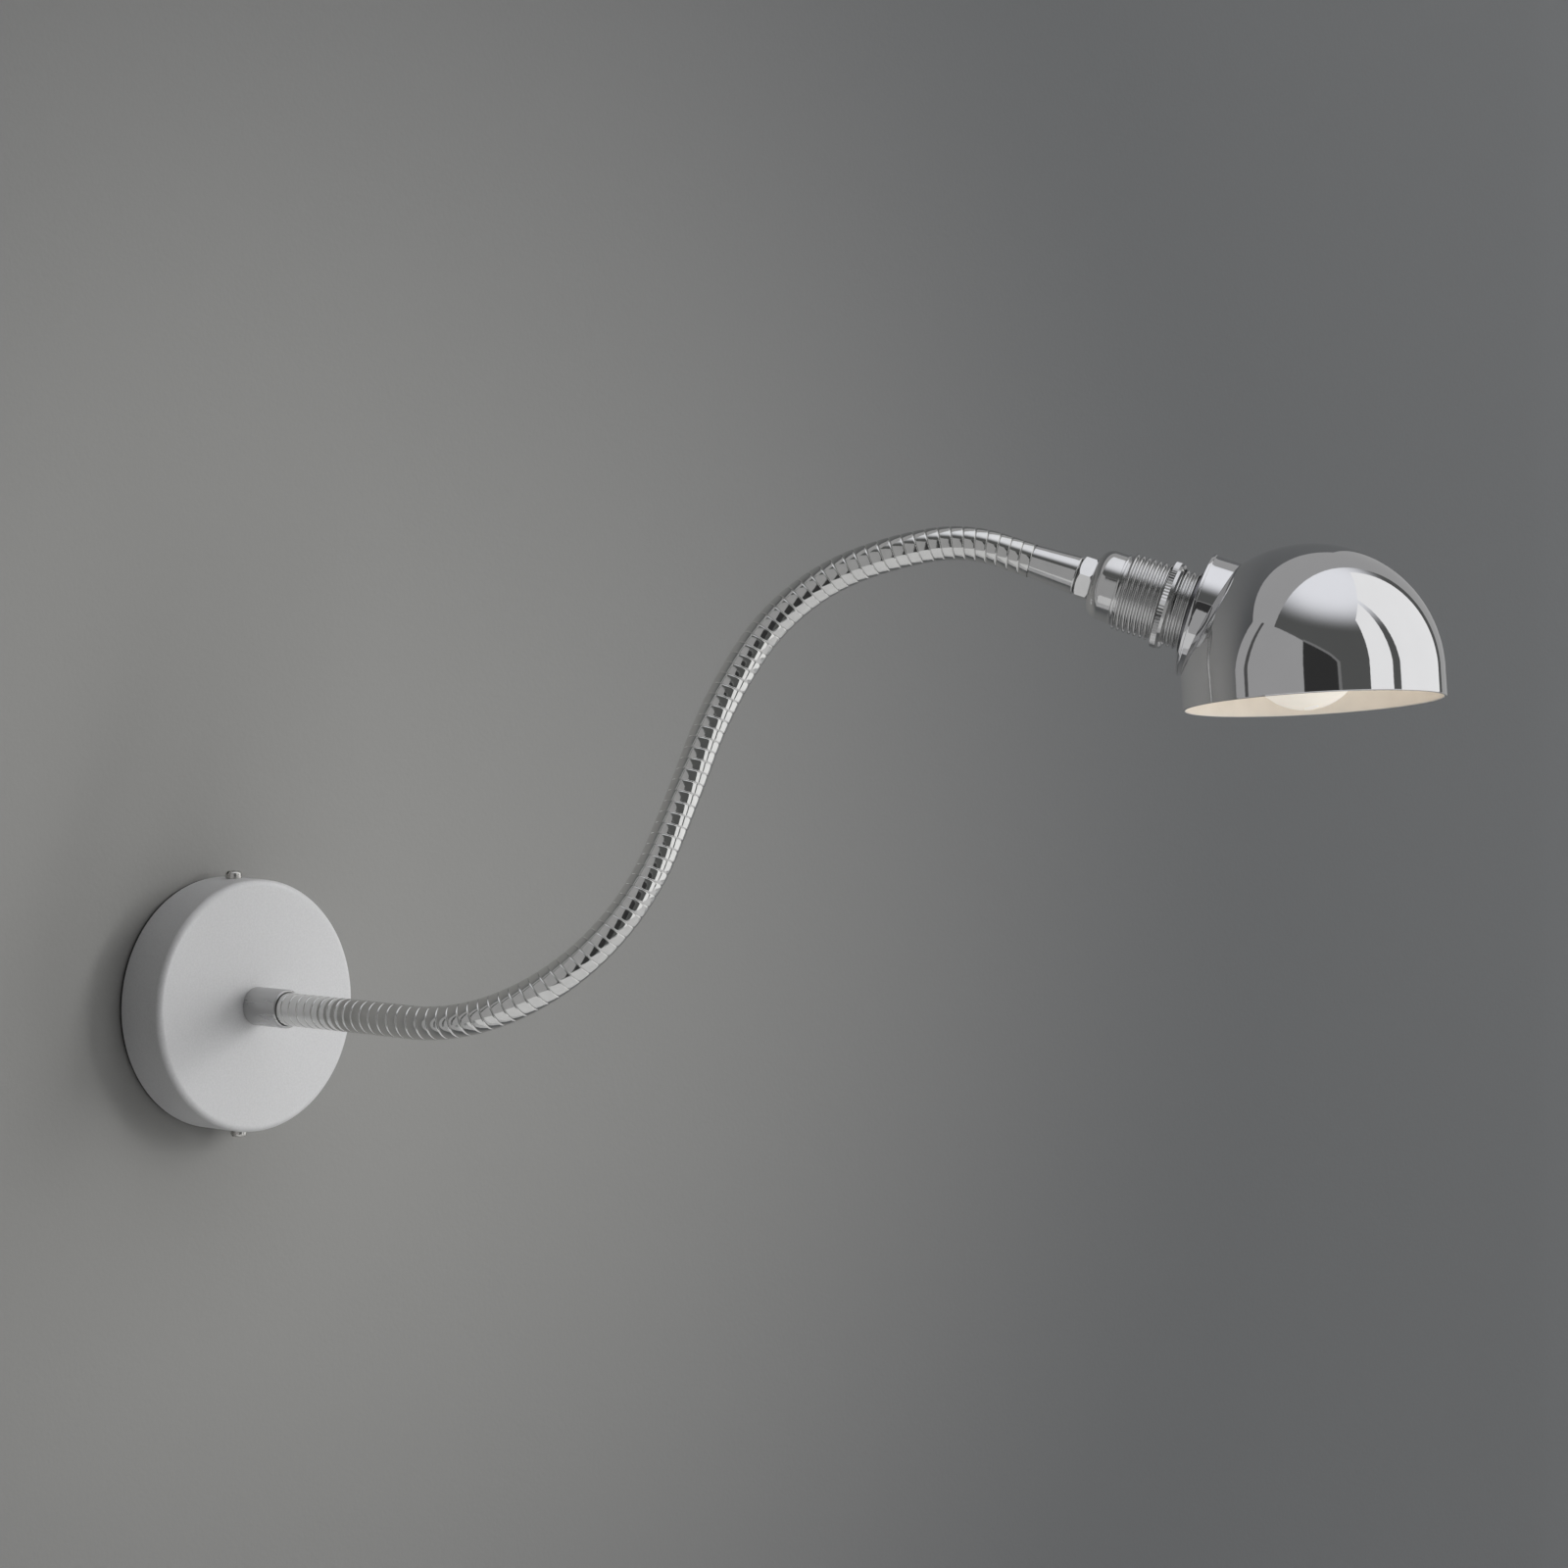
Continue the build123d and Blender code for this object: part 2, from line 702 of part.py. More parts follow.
with BuildPart() as holder_cap:
    with BuildSketch(head_side):
        with BuildLine():
            shoulder = (cap_start + cap_shoulder_radius, cap_radius - cap_shoulder_radius)
            inner_shoulder = cap_shoulder_radius - cap_wall
            bead_start = cap_end - cap_bead_width
            bead_radius = cap_radius + cap_bead_height
            inside_radius = cap_radius - cap_wall
            Polyline(
                (shoulder[0], cap_radius),
                (bead_start, cap_radius),
                (bead_start, bead_radius),
                (cap_end, bead_radius),
                (cap_end, inside_radius),
                (shoulder[0], inside_radius),
            )
            CenterArc(shoulder, inner_shoulder, 90, 90)
            Polyline(
                (cap_start + cap_wall, shoulder[1]),
                (cap_start + cap_wall, cap_boss_radius - cap_wall / 2),
                (boss_end, cap_boss_radius - cap_wall / 2),
                (boss_end, nipple_thread_hole),
                (cap_start, nipple_thread_hole),
                (cap_start, shoulder[1]),
            )
            CenterArc(shoulder, cap_shoulder_radius, 90, 90)
        make_face()
    revolve(axis=head_axis)
keep(holder_cap, "holder_cap")

shell_start = cap_end
shell_end = shell_start + shell_length
thread_start = shell_start + shell_gap
thread_turns = int((shell_end - thread_start) / shell_thread_pitch)
thread_root_radius = shell_thread_radius - shell_thread_depth

with BuildPart() as holder_shell:
    outline = [(shell_start, shell_bore_radius), (shell_start, shell_neck_radius), (thread_start, shell_neck_radius)]
    for thread in range(thread_turns):
        place = thread_start + thread * shell_thread_pitch
        outline.append((place, thread_root_radius))
        outline.append((place + shell_crest_start * shell_thread_pitch, shell_thread_radius))
        outline.append((place + shell_crest_end * shell_thread_pitch, shell_thread_radius))
        outline.append((place + shell_flank_end * shell_thread_pitch, thread_root_radius))
    outline.append((shell_end, thread_root_radius))
    outline.append((shell_end, shell_bore_radius))
    turn(head_side, head_axis, outline)
keep(holder_shell, "holder_shell")

ring_bore_radius = shell_thread_radius + thread_clearance

with BuildPart() as knurled_ring:
    lip_start = knurled_ring_at + knurled_ring_width - knurled_lip_width
    with BuildSketch(head_plane(knurled_ring_at)):
        with BuildLine():
            half_step = pi / knurl_count
            crests = []
            for knurl in range(2 * knurl_count):
                reach = knurled_ring_radius - knurl_depth * (knurl % 2)
                crests.append((reach * cos(knurl * half_step), reach * sin(knurl * half_step)))
            Polyline(*crests, close=True)
        make_face()
        Circle(ring_bore_radius, mode=Mode.SUBTRACT)
    extrude(amount=knurled_ring_width - knurled_lip_width)
    lip_radius = knurled_ring_radius - knurl_depth
    ring_end = knurled_ring_at + knurled_ring_width
    turn(
        head_side,
        head_axis,
        [
            (lip_start, ring_bore_radius),
            (ring_end, ring_bore_radius),
            (ring_end, lip_radius - knurled_lip_chamfer),
            (ring_end - knurled_lip_chamfer, lip_radius),
            (lip_start, lip_radius),
        ],
    )
keep(knurled_ring, "knurled_ring")

plate_end = shade_plate_at + shade_plate_thickness

with BuildPart() as seat_ring:
    seat_ring_end = shade_plate_at - seat_clearance
    tube(head_side, head_axis, seat_ring_end - seat_ring_width, seat_ring_end, seat_ring_radius, ring_bore_radius)
keep(seat_ring, "seat_ring")

with BuildPart() as shade_lock_ring:
    with BuildSketch(head_plane(plate_end + seat_clearance)):
        Circle(lock_ring_radius)
        Circle(ring_bore_radius, mode=Mode.SUBTRACT)
        with PolarLocations(lock_ring_radius, lock_ring_notches):
            Circle(lock_ring_notch_radius, mode=Mode.SUBTRACT)
    extrude(amount=lock_ring_thickness)
keep(shade_lock_ring, "shade_lock_ring")

socket_outer_radius = socket_bore_radius + socket_wall
insulator_floor_at = insulator_at + insulator_floor

with BuildPart() as insulator:
    turn(
        head_side,
        head_axis,
        [
            (insulator_at, 0),
            (insulator_floor_at, 0),
            (insulator_floor_at, socket_outer_radius + socket_fit),
            (insulator_at + insulator_length, socket_outer_radius + socket_fit),
            (insulator_at + insulator_length, insulator_radius),
            (insulator_at, insulator_radius),
        ],
    )
keep(insulator, "insulator")

with BuildPart() as screw_contact:
    tube(head_side, head_axis, insulator_floor_at, socket_start + socket_length, socket_outer_radius, socket_bore_radius)
keep(screw_contact, "screw_contact")

contact_tip = insulator_floor_at + centre_contact_height

with BuildPart() as centre_contact:
    turn(
        head_side,
        head_axis,
        [
            (insulator_floor_at, 0),
            (contact_tip, 0),
            (contact_tip - centre_contact_plate / 2, centre_contact_tip_radius),
            (insulator_floor_at + centre_contact_plate, centre_contact_tip_radius),
            (insulator_floor_at + centre_contact_plate, centre_contact_radius),
            (insulator_floor_at, centre_contact_radius),
        ],
    )
keep(centre_contact, "centre_contact")

# Live, neutral and earth leave the lead a third of a turn apart
core_names = ("live_core", "neutral_core", "earth_core")
core_angles = (90.0, 210.0, 330.0)


def head_place(along, out, angle):
    """A point in the head, by its distance along the axis, out from it, and its angle round it."""
    across = head_facing.cross(head_up)
    return head_start + head_facing * along + (head_up * cos(radians(angle)) + across * sin(radians(angle))) * out


with BuildPart() as holder_terminals:
    for angle in core_angles[:2]:
        with BuildSketch(head_plane(insulator_at - terminal_length)):
            with PolarLocations(terminal_out, 1, start_angle=angle):
                Rectangle(terminal_size, terminal_size)
                Circle(core_radius + hole_clearance, mode=Mode.SUBTRACT)
        extrude(amount=terminal_length)
keep(holder_terminals, "holder_terminals")

with BuildPart() as holder_terminal_screws:
    for angle in core_angles[:2]:
        side = head_place(insulator_at - terminal_length / 2, terminal_out + terminal_size / 2, angle)
        outwards = (side - head_place(insulator_at - terminal_length / 2, 0, angle)).normalized()
        with BuildSketch(Plane(origin=side, x_dir=head_facing, z_dir=outwards)):
            Circle(holder_screw_head_radius)
        extrude(amount=holder_screw_head_height)
keep(holder_terminal_screws, "holder_terminal_screws")

with BuildPart() as earth_tag:
    with BuildSketch(head_plane(insulator_at - earth_tag_thickness)):
        with PolarLocations(terminal_out, 1, start_angle=core_angles[2]):
            Rectangle(earth_tag_width, terminal_size)
            Circle(core_radius + hole_clearance, mode=Mode.SUBTRACT)
    extrude(amount=earth_tag_thickness)
    tube(head_side, head_axis, shell_start, insulator_at, 2 * insulator_radius, insulator_radius, Mode.SUBTRACT)
keep(earth_tag, "earth_tag")

# ---------------------------------------------------------------- Lead and cores

lead_start = pole_axis_out + lead_end_from_poles
lead_end = head_nipple_end + lead_tail_in_cap

with BuildPart() as supply_lead:
    with BuildLine() as lead_route:
        Line((lead_start, 0, 0), course(straight_run)[0])
        for start, end in zip(bend_starts[:-1], bend_starts[1:]):
            ThreePointArc(course(start)[0], course((start + end) / 2)[0], course(end)[0])
            turned = radians(course(start)[1].get_angle(course(end)[1]))
            print("lead bend radius", round((end - start) / turned, 1))
        Line(course(bend_starts[-1])[0], head_start + head_facing * lead_end)
    with BuildSketch(Plane.YZ.offset(lead_start)):
        Circle(lead_radius)
    sweep()
lead_tube = pi * lead_radius**2 * lead_route.wire().length
print("lead's volume over section times length", round(supply_lead.part.volume / lead_tube, 5))
keep(supply_lead, "supply_lead")

core_pole_end = block_lift + core_in_pole

for index, (core, angle) in enumerate(zip(core_names, core_angles)):
    # In the rose each core leaves the lead's end, turns up and runs into its pole
    pole_across = (-pole_spacing, pole_spacing, 0.0)[index]
    leaving = (
        core_ring_radius * (-1, 1, 0)[index] * cos(radians(30)),
        core_ring_radius * (-0.5, -0.5, 1)[index],
    )
    corner = Vector(pole_axis_out, leaving[0], leaving[1])
    route = [Vector(lead_start, leaving[0], leaving[1]), corner]
    if pole_across:
        route.append(Vector(pole_axis_out, pole_across, block_lift - core_below_pole))
    route.append(Vector(pole_axis_out, pole_across, core_pole_end))
    with BuildPart() as rose_core:
        with BuildLine():
            FilletPolyline(*route, radius=core_corner_radius)
        with BuildSketch(Plane(origin=route[0], z_dir=route[1] - route[0])):
            Circle(core_radius)
        sweep()
    keep(rose_core, f"rose_{core}")

    # In the cap each core leaves the lead's other end and steps out to its terminal in two equal arcs
    terminal_face = insulator_at - (terminal_length if index < 2 else earth_tag_thickness)
    reach = terminal_face - lead_end
    step_out = terminal_out - core_ring_radius
    middle_along, middle_out = lead_end + reach / 2, core_ring_radius + step_out / 2
    with BuildPart() as head_core:
        with BuildLine() as step_route:
            begin = head_place(lead_end, core_ring_radius, angle)
            middle = head_place(middle_along, middle_out, angle)
            finish = head_place(terminal_face, terminal_out, angle)
            first_arc = TangentArc(begin, middle, tangent=head_facing)
            TangentArc(middle, finish, tangent=first_arc % 1)
            Line(finish, finish + head_facing * earth_tag_thickness)
        with BuildSketch(Plane(origin=begin, x_dir=head_up, z_dir=head_facing)):
            Circle(core_radius)
        sweep()
    keep(head_core, f"holder_{core}")

# ---------------------------------------------------------------- Lamp

lamp_contact_start = contact_tip + lamp_contact_gap
lamp_base_start = lamp_contact_start + lamp_contact_height
lamp_cap_start = lamp_base_start + lamp_base_height
lamp_cap_end = lamp_cap_start + lamp_cap_turns * lamp_cap_pitch + lamp_cap_skirt
lamp_cap_root = lamp_cap_radius - lamp_cap_thread_depth
lamp_cap_bore = lamp_cap_root - lamp_cap_wall

with BuildPart() as lamp_contact:
    turn(
        head_side,
        head_axis,
        [
            (lamp_contact_start, 0),
            (lamp_base_start, 0),
            (lamp_base_start, lamp_contact_radius),
            (lamp_base_start - lamp_contact_height / 2, lamp_contact_shoulder_radius),
            (lamp_contact_start, lamp_contact_tip_radius),
        ],
    )
keep(lamp_contact, "lamp_contact")

with BuildPart() as lamp_base:
    turn(
        head_side,
        head_axis,
        [
            (lamp_base_start, 0),
            (lamp_cap_start, 0),
            (lamp_cap_start, lamp_cap_root),
            (lamp_base_start, lamp_base_radius),
        ],
    )
keep(lamp_base, "lamp_base")

with BuildPart() as lamp_cap:
    outline = [(lamp_cap_start, lamp_cap_bore)]
    for thread in range(lamp_cap_turns):
        place = lamp_cap_start + thread * lamp_cap_pitch
        outline.append((place, lamp_cap_root))
        outline.append((place + lamp_cap_crest_start * lamp_cap_pitch, lamp_cap_radius))
        outline.append((place + lamp_cap_crest_end * lamp_cap_pitch, lamp_cap_radius))
    skirt_start = lamp_cap_start + lamp_cap_turns * lamp_cap_pitch
    outline.append((skirt_start, lamp_cap_root))
    outline.append((skirt_start + lamp_cap_thread_depth, lamp_cap_radius))
    outline.append((lamp_cap_end, lamp_cap_radius))
    outline.append((lamp_cap_end, lamp_cap_bore))
    turn(head_side, head_axis, outline)
keep(lamp_cap, "lamp_cap")

bulb_inner_radius = lamp_radius - lamp_glass_wall


def on_ball(radius, angle):
    """A point on the lamp's ball, as (distance along the axis, radius)."""
    return lamp_centre + radius * cos(radians(angle)), radius * sin(radians(angle))


with BuildPart() as lamp_glass:
    with BuildSketch(head_side):
        with BuildLine():
            outer_foot, inner_foot = on_ball(lamp_radius, bulb_neck_angle), on_ball(bulb_inner_radius, bulb_neck_angle)
            neck_out = lamp_cap_bore - seat_clearance
            neck_in = neck_out - lamp_glass_wall
            neck_start = lamp_cap_end - lamp_neck_inset
            neck_end = lamp_cap_end + seat_clearance
            sag = lamp_neck_rise * (outer_foot[1] - lamp_neck_radius)
            half_way = (neck_end + outer_foot[0]) / 2
            Polyline((neck_start, neck_out), (neck_end, neck_out), (neck_end, lamp_neck_radius))
            ThreePointArc((neck_end, lamp_neck_radius), (half_way, lamp_neck_radius + sag), outer_foot)
            CenterArc((lamp_centre, 0), lamp_radius, bulb_neck_angle, -bulb_neck_angle)
            Line(on_ball(lamp_radius, 0), on_ball(bulb_inner_radius, 0))
            CenterArc((lamp_centre, 0), bulb_inner_radius, 0, bulb_neck_angle)
            inner_neck_end = (neck_end + lamp_glass_wall, lamp_neck_radius - lamp_glass_wall)
            inner_half = (half_way + lamp_glass_wall / 2, lamp_neck_radius + sag - lamp_glass_wall)
            ThreePointArc(inner_foot, inner_half, inner_neck_end)
            Polyline(
                inner_neck_end,
                (neck_end + lamp_glass_wall, neck_in),
                (neck_start, neck_in),
                (neck_start, neck_out),
            )
        make_face()
    revolve(axis=head_axis)
keep(lamp_glass, "lamp_glass")

stem_end = neck_start + lamp_stem_length

with BuildPart() as lamp_stem:
    turn(
        head_side,
        head_axis,
        [
            (neck_start, 0),
            (stem_end, 0),
            (stem_end, lamp_stem_radius),
            (neck_start + 2 * lamp_glass_wall, lamp_stem_radius),
            (neck_start + lamp_glass_wall, neck_in - seat_clearance),
            (neck_start, neck_in - seat_clearance),
        ],
    )
keep(lamp_stem, "lamp_stem")

with BuildPart() as lamp_filament:
    foot = lamp_stem_radius - 2 * filament_radius
    tip = stem_end + filament_reach
    rise = stem_end + filament_reach / 4
    with BuildLine(head_side):
        FilletPolyline(
            (stem_end, foot),
            (rise, foot),
            (tip, filament_reach),
            (tip + filament_reach / 4, 0),
            (tip, -filament_reach),
            (rise, -foot),
            (stem_end, -foot),
            radius=filament_bend_radius,
        )
    with BuildSketch(Plane(origin=head_start + head_facing * stem_end + head_up * foot, z_dir=head_facing)):
        Circle(filament_radius)
    sweep()
keep(lamp_filament, "lamp_filament")

# ---------------------------------------------------------------- Shade

shade_up = head_up.rotate(Axis((0, 0, 0), head_facing), shade_roll)
shade_across = head_facing.cross(shade_up)
dome_centre_along = shade_plate_at + dome_centre_from_plate
dome_centre = head_start + head_facing * dome_centre_along - shade_up * dome_centre_drop
dome_down = head_facing * cos(radians(dome_axis_angle)) - shade_up * sin(radians(dome_axis_angle))
dome_side = Plane(origin=dome_centre, x_dir=shade_across.cross(dome_down), z_dir=shade_across)

with BuildPart() as shade_collar:
    plate_hole_radius = shell_thread_radius + turning_clearance
    turn(
        head_side,
        head_axis,
        [
            (shade_plate_at, plate_hole_radius),
            (plate_end, plate_hole_radius),
            (plate_end, collar_radius - collar_wall),
            (dome_centre_along, collar_radius - collar_wall),
            (dome_centre_along, collar_radius),
            (plate_end, collar_radius),
            (plate_end, collar_rim_radius),
            (shade_plate_at, collar_rim_radius),
        ],
    )
    with Locations(dome_centre):
        Sphere(dome_radius + joint_line, mode=Mode.SUBTRACT)
keep(shade_collar, "shade_collar")

with BuildPart() as shade_dome:
    with BuildSketch(dome_side):
        with BuildLine():
            dome_inner_radius = dome_radius - dome_wall
            Line((dome_radius, -dome_skirt), (dome_radius, 0))
            CenterArc((0, 0), dome_radius, 0, 90)
            Line((0, dome_radius), (0, dome_inner_radius))
            CenterArc((0, 0), dome_inner_radius, 0, 90)
            Line((dome_inner_radius, 0), (dome_inner_radius, -dome_skirt))
            Line((dome_inner_radius, -dome_skirt), (dome_radius, -dome_skirt))
        make_face()
    revolve(axis=Axis(dome_centre, dome_down))
    with BuildSketch(head_plane(shade_plate_at)):
        Circle(collar_radius - collar_wall)
    extrude(amount=dome_centre_from_plate, both=True, mode=Mode.SUBTRACT)
keep(shade_dome, "shade_dome")

print("arm length", arm_length, "ribs", rib_count, "pitch", round(pitch, 3))
print("head start", [round(v, 3) for v in head_start], "facing", [round(v, 5) for v in head_facing])
print("dome centre", [round(v, 3) for v in dome_centre], "down", [round(v, 5) for v in dome_down])
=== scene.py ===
"""Dresses the gooseneck wall sconce.

Chrome gooseneck, lampholder and dome, a painted rose and a lit ball lamp, with the wall, the room and the light.
"""

import math

import bmesh
import bpy
import numpy as np
from mathutils import Matrix, Vector


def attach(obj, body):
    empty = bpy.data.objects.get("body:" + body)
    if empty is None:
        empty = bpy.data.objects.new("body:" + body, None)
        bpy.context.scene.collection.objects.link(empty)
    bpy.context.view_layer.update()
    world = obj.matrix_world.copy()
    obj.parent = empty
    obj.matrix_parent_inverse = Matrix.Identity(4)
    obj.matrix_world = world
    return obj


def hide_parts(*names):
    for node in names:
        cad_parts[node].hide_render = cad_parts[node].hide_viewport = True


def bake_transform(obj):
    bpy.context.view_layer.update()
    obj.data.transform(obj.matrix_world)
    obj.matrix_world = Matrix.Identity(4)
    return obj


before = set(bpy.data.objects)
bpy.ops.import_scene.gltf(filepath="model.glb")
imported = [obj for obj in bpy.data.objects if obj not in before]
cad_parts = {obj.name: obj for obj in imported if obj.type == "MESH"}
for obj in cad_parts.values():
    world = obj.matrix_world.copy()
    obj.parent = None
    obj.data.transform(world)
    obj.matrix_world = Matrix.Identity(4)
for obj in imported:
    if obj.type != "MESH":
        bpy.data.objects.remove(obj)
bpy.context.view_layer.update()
MM = 0.001

# ------------------------------------------------------------------ sizes, as in the solids, in millimetres
SEAT_GAP, THREAD_GAP, TURNING_GAP, HOLE_GAP = 0.05, 0.02, 0.05, 0.15

# rose and its ferrule
ROSE_DEPTH, ROSE_FERRULE, ROSE_FERRULE_R = 22.0, 17.0, 7.0
POLES_OUT = 1.5 + 5.0  # the terminal poles' axis: the bracket's thickness and the way out from it
NIPPLE_BORE, NIPPLE_HOLE, NIPPLE_IN_ROSE_FERRULE = 3.8, 5.0 + THREAD_GAP, 5.5
FERRULE_CHAMFER = 0.4

# gooseneck and the lead in it
NECK_IN_FERRULE, STRAIGHT, STRAIGHT_END = 10.0, 38.0, 12.0
BENDS = [  # length, heading and climb
    (25.0, 10.5, -2.5),
    (77.5, 52.5, 43.0),
    (42.5, 82.5, 61.0),
    (37.0, 89.0, 61.5),
    (41.5, 64.0, 54.0),
    (51.5, 35.0, 19.5),
    (25.0, 39.5, 9.0),
    (25.0, 33.0, -18.5),
]
RUN_RIBS, FLEX_RIBS, RIB_PITCH = (4, 4, 6, 7, 7, 6), 9, 4.18
NECK_R, NECK_BORE = 6.0, 4.0
LEAD_R, LEAD_BEHIND_POLES, LEAD_TAIL = 2.7, 2.5, 0.4

# head: ferrule, nut, lampholder cap and threaded body, from the gooseneck's end
HEAD_FERRULE, HEAD_FERRULE_START_R, HEAD_FERRULE_END_R = 17.1, 5.8, 6.85
SPIGOT, SPIGOT_R, LEAD_HOLE, NIPPLE_IN_HEAD_FERRULE = 8.0, 3.92, 3.0, 7.5
NUT_GAP, NUT = 0.15, 5.4
CAP, CAP_R, CAP_SHOULDER, CAP_WALL, CAP_BOSS, CAP_BOSS_BORE = 10.5, 12.5, 5.0, 1.2, 5.5, 6.9
BEAD_WIDTH, BEAD_HEIGHT = 0.9, 0.4
SHELL, SHELL_NECK, SHELL_BORE, SHELL_NECK_R = 35.8, 0.9, 11.8, 12.0
THREAD_R, THREAD_DEPTH, THREAD_PITCH = 14.0, 0.95, 2.05
SEAT_RING, SEAT_RING_R = 1.7, 14.7

# shade and lamp
PLATE_AT, PLATE_T, PLATE_HOLE = 60.5, 1.0, THREAD_R + TURNING_GAP
COLLAR_R, COLLAR_RIM, COLLAR_WALL, COLLAR_LEAST = 21.9, 22.3, 0.8, 2.1
DOME_R, DOME_WALL, DOME_SKIRT = 46.0, 1.2, 10.0
DOME_DROP, DOME_TILT, SHADE_ROLL, JOINT_LINE = 7.4, 68.0, -8.2, 0.03
LAMP_AT = 100.5


def unit(v):
    return v / np.linalg.norm(v)


def direction(heading, climb):
    """Unit vector of a heading, turned from straight out towards +Y, and a climb above level, in degrees."""
    h, c = math.radians(heading), math.radians(climb)
    return np.array([math.cos(c) * math.cos(h), math.cos(c) * math.sin(h), math.sin(c)])


def turned(v, k, degrees):
    """A vector turned round a unit vector k."""
    a = math.radians(degrees)
    return v * math.cos(a) + np.cross(k, v) * math.sin(a) + k * (k @ v) * (1 - math.cos(a))


OUT, UP = np.array([1.0, 0, 0]), np.array([0, 0, 1.0])
ARM = STRAIGHT + sum(b[0] for b in BENDS) + STRAIGHT_END
RIBS = round((NECK_IN_FERRULE + ARM) / RIB_PITCH)
PITCH = (NECK_IN_FERRULE + ARM) / RIBS


def course(s):
    """Point and direction on the gooseneck's centreline, s from the rose ferrule's mouth."""
    p, t = OUT * (ROSE_DEPTH + ROSE_FERRULE), OUT
    if s <= STRAIGHT:
        return p + t * s, t
    p, s = p + t * STRAIGHT, s - STRAIGHT
    for length, heading, climb in BENDS:
        t2 = direction(heading, climb)
        turn = math.acos(float(t @ t2))
        radius, inward = length / turn, unit(t2 - t * (t2 @ t))
        a = min(s, length) / radius
        here = p + radius * (math.sin(a) * t + (1 - math.cos(a)) * inward)
        if s <= length:
            return here, math.cos(a) * t + math.sin(a) * inward
        p, t, s = here, t2, s - length
    return p + t * s, t


STEADY = np.array([0.0, -0.88, 0.47])  # never along the gooseneck, so the ribs' angles don't jump


def cross_axes(t):
    """Two directions square to t and to each other, turned the same way all along the gooseneck."""
    x = unit(STEADY - t * (STEADY @ t))
    return x, np.cross(t, x)


HEAD, FACING = course(ARM)
HEAD_UP = unit(UP - FACING * FACING[2])
HEAD_ACROSS = np.cross(FACING, HEAD_UP)
SHADE_UP = turned(HEAD_UP, FACING, SHADE_ROLL)

NUT_AT = HEAD_FERRULE + NUT_GAP
CAP_AT = NUT_AT + NUT + NUT_GAP
CAP_END, BOSS_END = CAP_AT + CAP, CAP_AT + CAP_BOSS
SHELL_END = CAP_END + SHELL
PLATE_END = PLATE_AT + PLATE_T
DOME_FROM_PLATE = COLLAR_LEAST + math.sqrt(DOME_R**2 - (COLLAR_R - DOME_DROP) ** 2)
DOME_O = HEAD + FACING * (PLATE_AT + DOME_FROM_PLATE) - SHADE_UP * DOME_DROP
DOME_DOWN = FACING * math.cos(math.radians(DOME_TILT)) - SHADE_UP * math.sin(math.radians(DOME_TILT))
DOME_INSIDE = DOME_R - DOME_WALL


# ------------------------------------------------------------------ mesh helpers
def add_object(name, data):
    obj = bpy.data.objects.new(name, data)
    bpy.context.scene.collection.objects.link(obj)
    return obj


def new_mesh(name, verts_mm, faces):
    mesh = bpy.data.meshes.new(name)
    mesh.from_pydata([tuple(float(c) * MM for c in v) for v in verts_mm], [], [tuple(f) for f in faces])
    mesh.validate()
    mesh.update()
    mesh.shade_smooth()
    return add_object(name, mesh)


def spoke(x, y, j, around):
    """Direction in the plane of x and y, at step j of a round."""
    a = 2 * math.pi * j / around
    return x * math.cos(a) + y * math.sin(a)


def along_course(s):
    """Point and two square directions at a place on the gooseneck."""
    p, t = course(s)
    return (p, *cross_axes(t))


def along_head(s):
    """Point and two square directions at a place on the head's axis."""
    return HEAD + FACING * s, HEAD_UP, HEAD_ACROSS


def helical_tube(name, start, end, outside, bore, shares, place_at, pitch, origin, around=56, capped=False):
    """Tube whose outside is a right-handed wrap.

    outside(share of a turn) gives its radius and shares says where a turn is sampled. place_at(s) gives a point and
    two square directions. A turn starts at the origin.
    """
    first = math.floor((start - origin) / pitch) - 1
    last = math.ceil((end - origin) / pitch) + 1
    verts, index = [], {}
    steps = []
    for turn in range(first, last):
        steps.extend(turn + shares)
    steps.append(float(last))
    n = len(steps)
    cache = {}

    def place(s):
        key = round(s, 4)
        if key not in cache:
            cache[key] = place_at(s)
        return cache[key]

    grid = np.zeros((n, around + 1), int)
    for i, step in enumerate(steps):
        for j in range(around + 1):
            s = (step + j / around) * pitch + origin
            s = min(max(s, start), end)
            share = ((s - origin) / pitch - j / around) % 1.0
            p, x, y = place(s)
            v = p + spoke(x, y, j, around) * outside(share)
            key = tuple(np.round(v, 4))
            if key not in index:
                index[key] = len(verts)
                verts.append(v)
            grid[i, j] = index[key]
    faces = []
    for i in range(n - 1):
        for j in range(around):
            corners = [grid[i, j], grid[i, j + 1], grid[i + 1, j + 1], grid[i + 1, j]]
            loop = [v for k, v in enumerate(corners) if v != corners[k - 1]]
            if len(set(loop)) >= 3 and len(loop) == len(set(loop)):
                faces.append(loop)

    bore_step = 3.0
    rows = []
    for s in np.linspace(start, end, max(2, int((end - start) / bore_step))):
        p, x, y = place(float(s))
        rows.append(list(range(len(verts), len(verts) + around)))
        verts += [p + spoke(x, y, j, around) * bore for j in range(around)]
    for a, b in zip(rows[:-1], rows[1:]):
        for j in range(around):
            k = (j + 1) % around
            faces.append([a[j], b[j], b[k], a[k]])
    if capped:
        for j in range(around):
            k = (j + 1) % around
            faces.append([grid[0, j], rows[0][j], rows[0][k], grid[0, j + 1]])
            faces.append([grid[n - 1, j + 1], rows[-1][k], rows[-1][j], grid[n - 1, j]])
    return new_mesh(name, verts, faces)


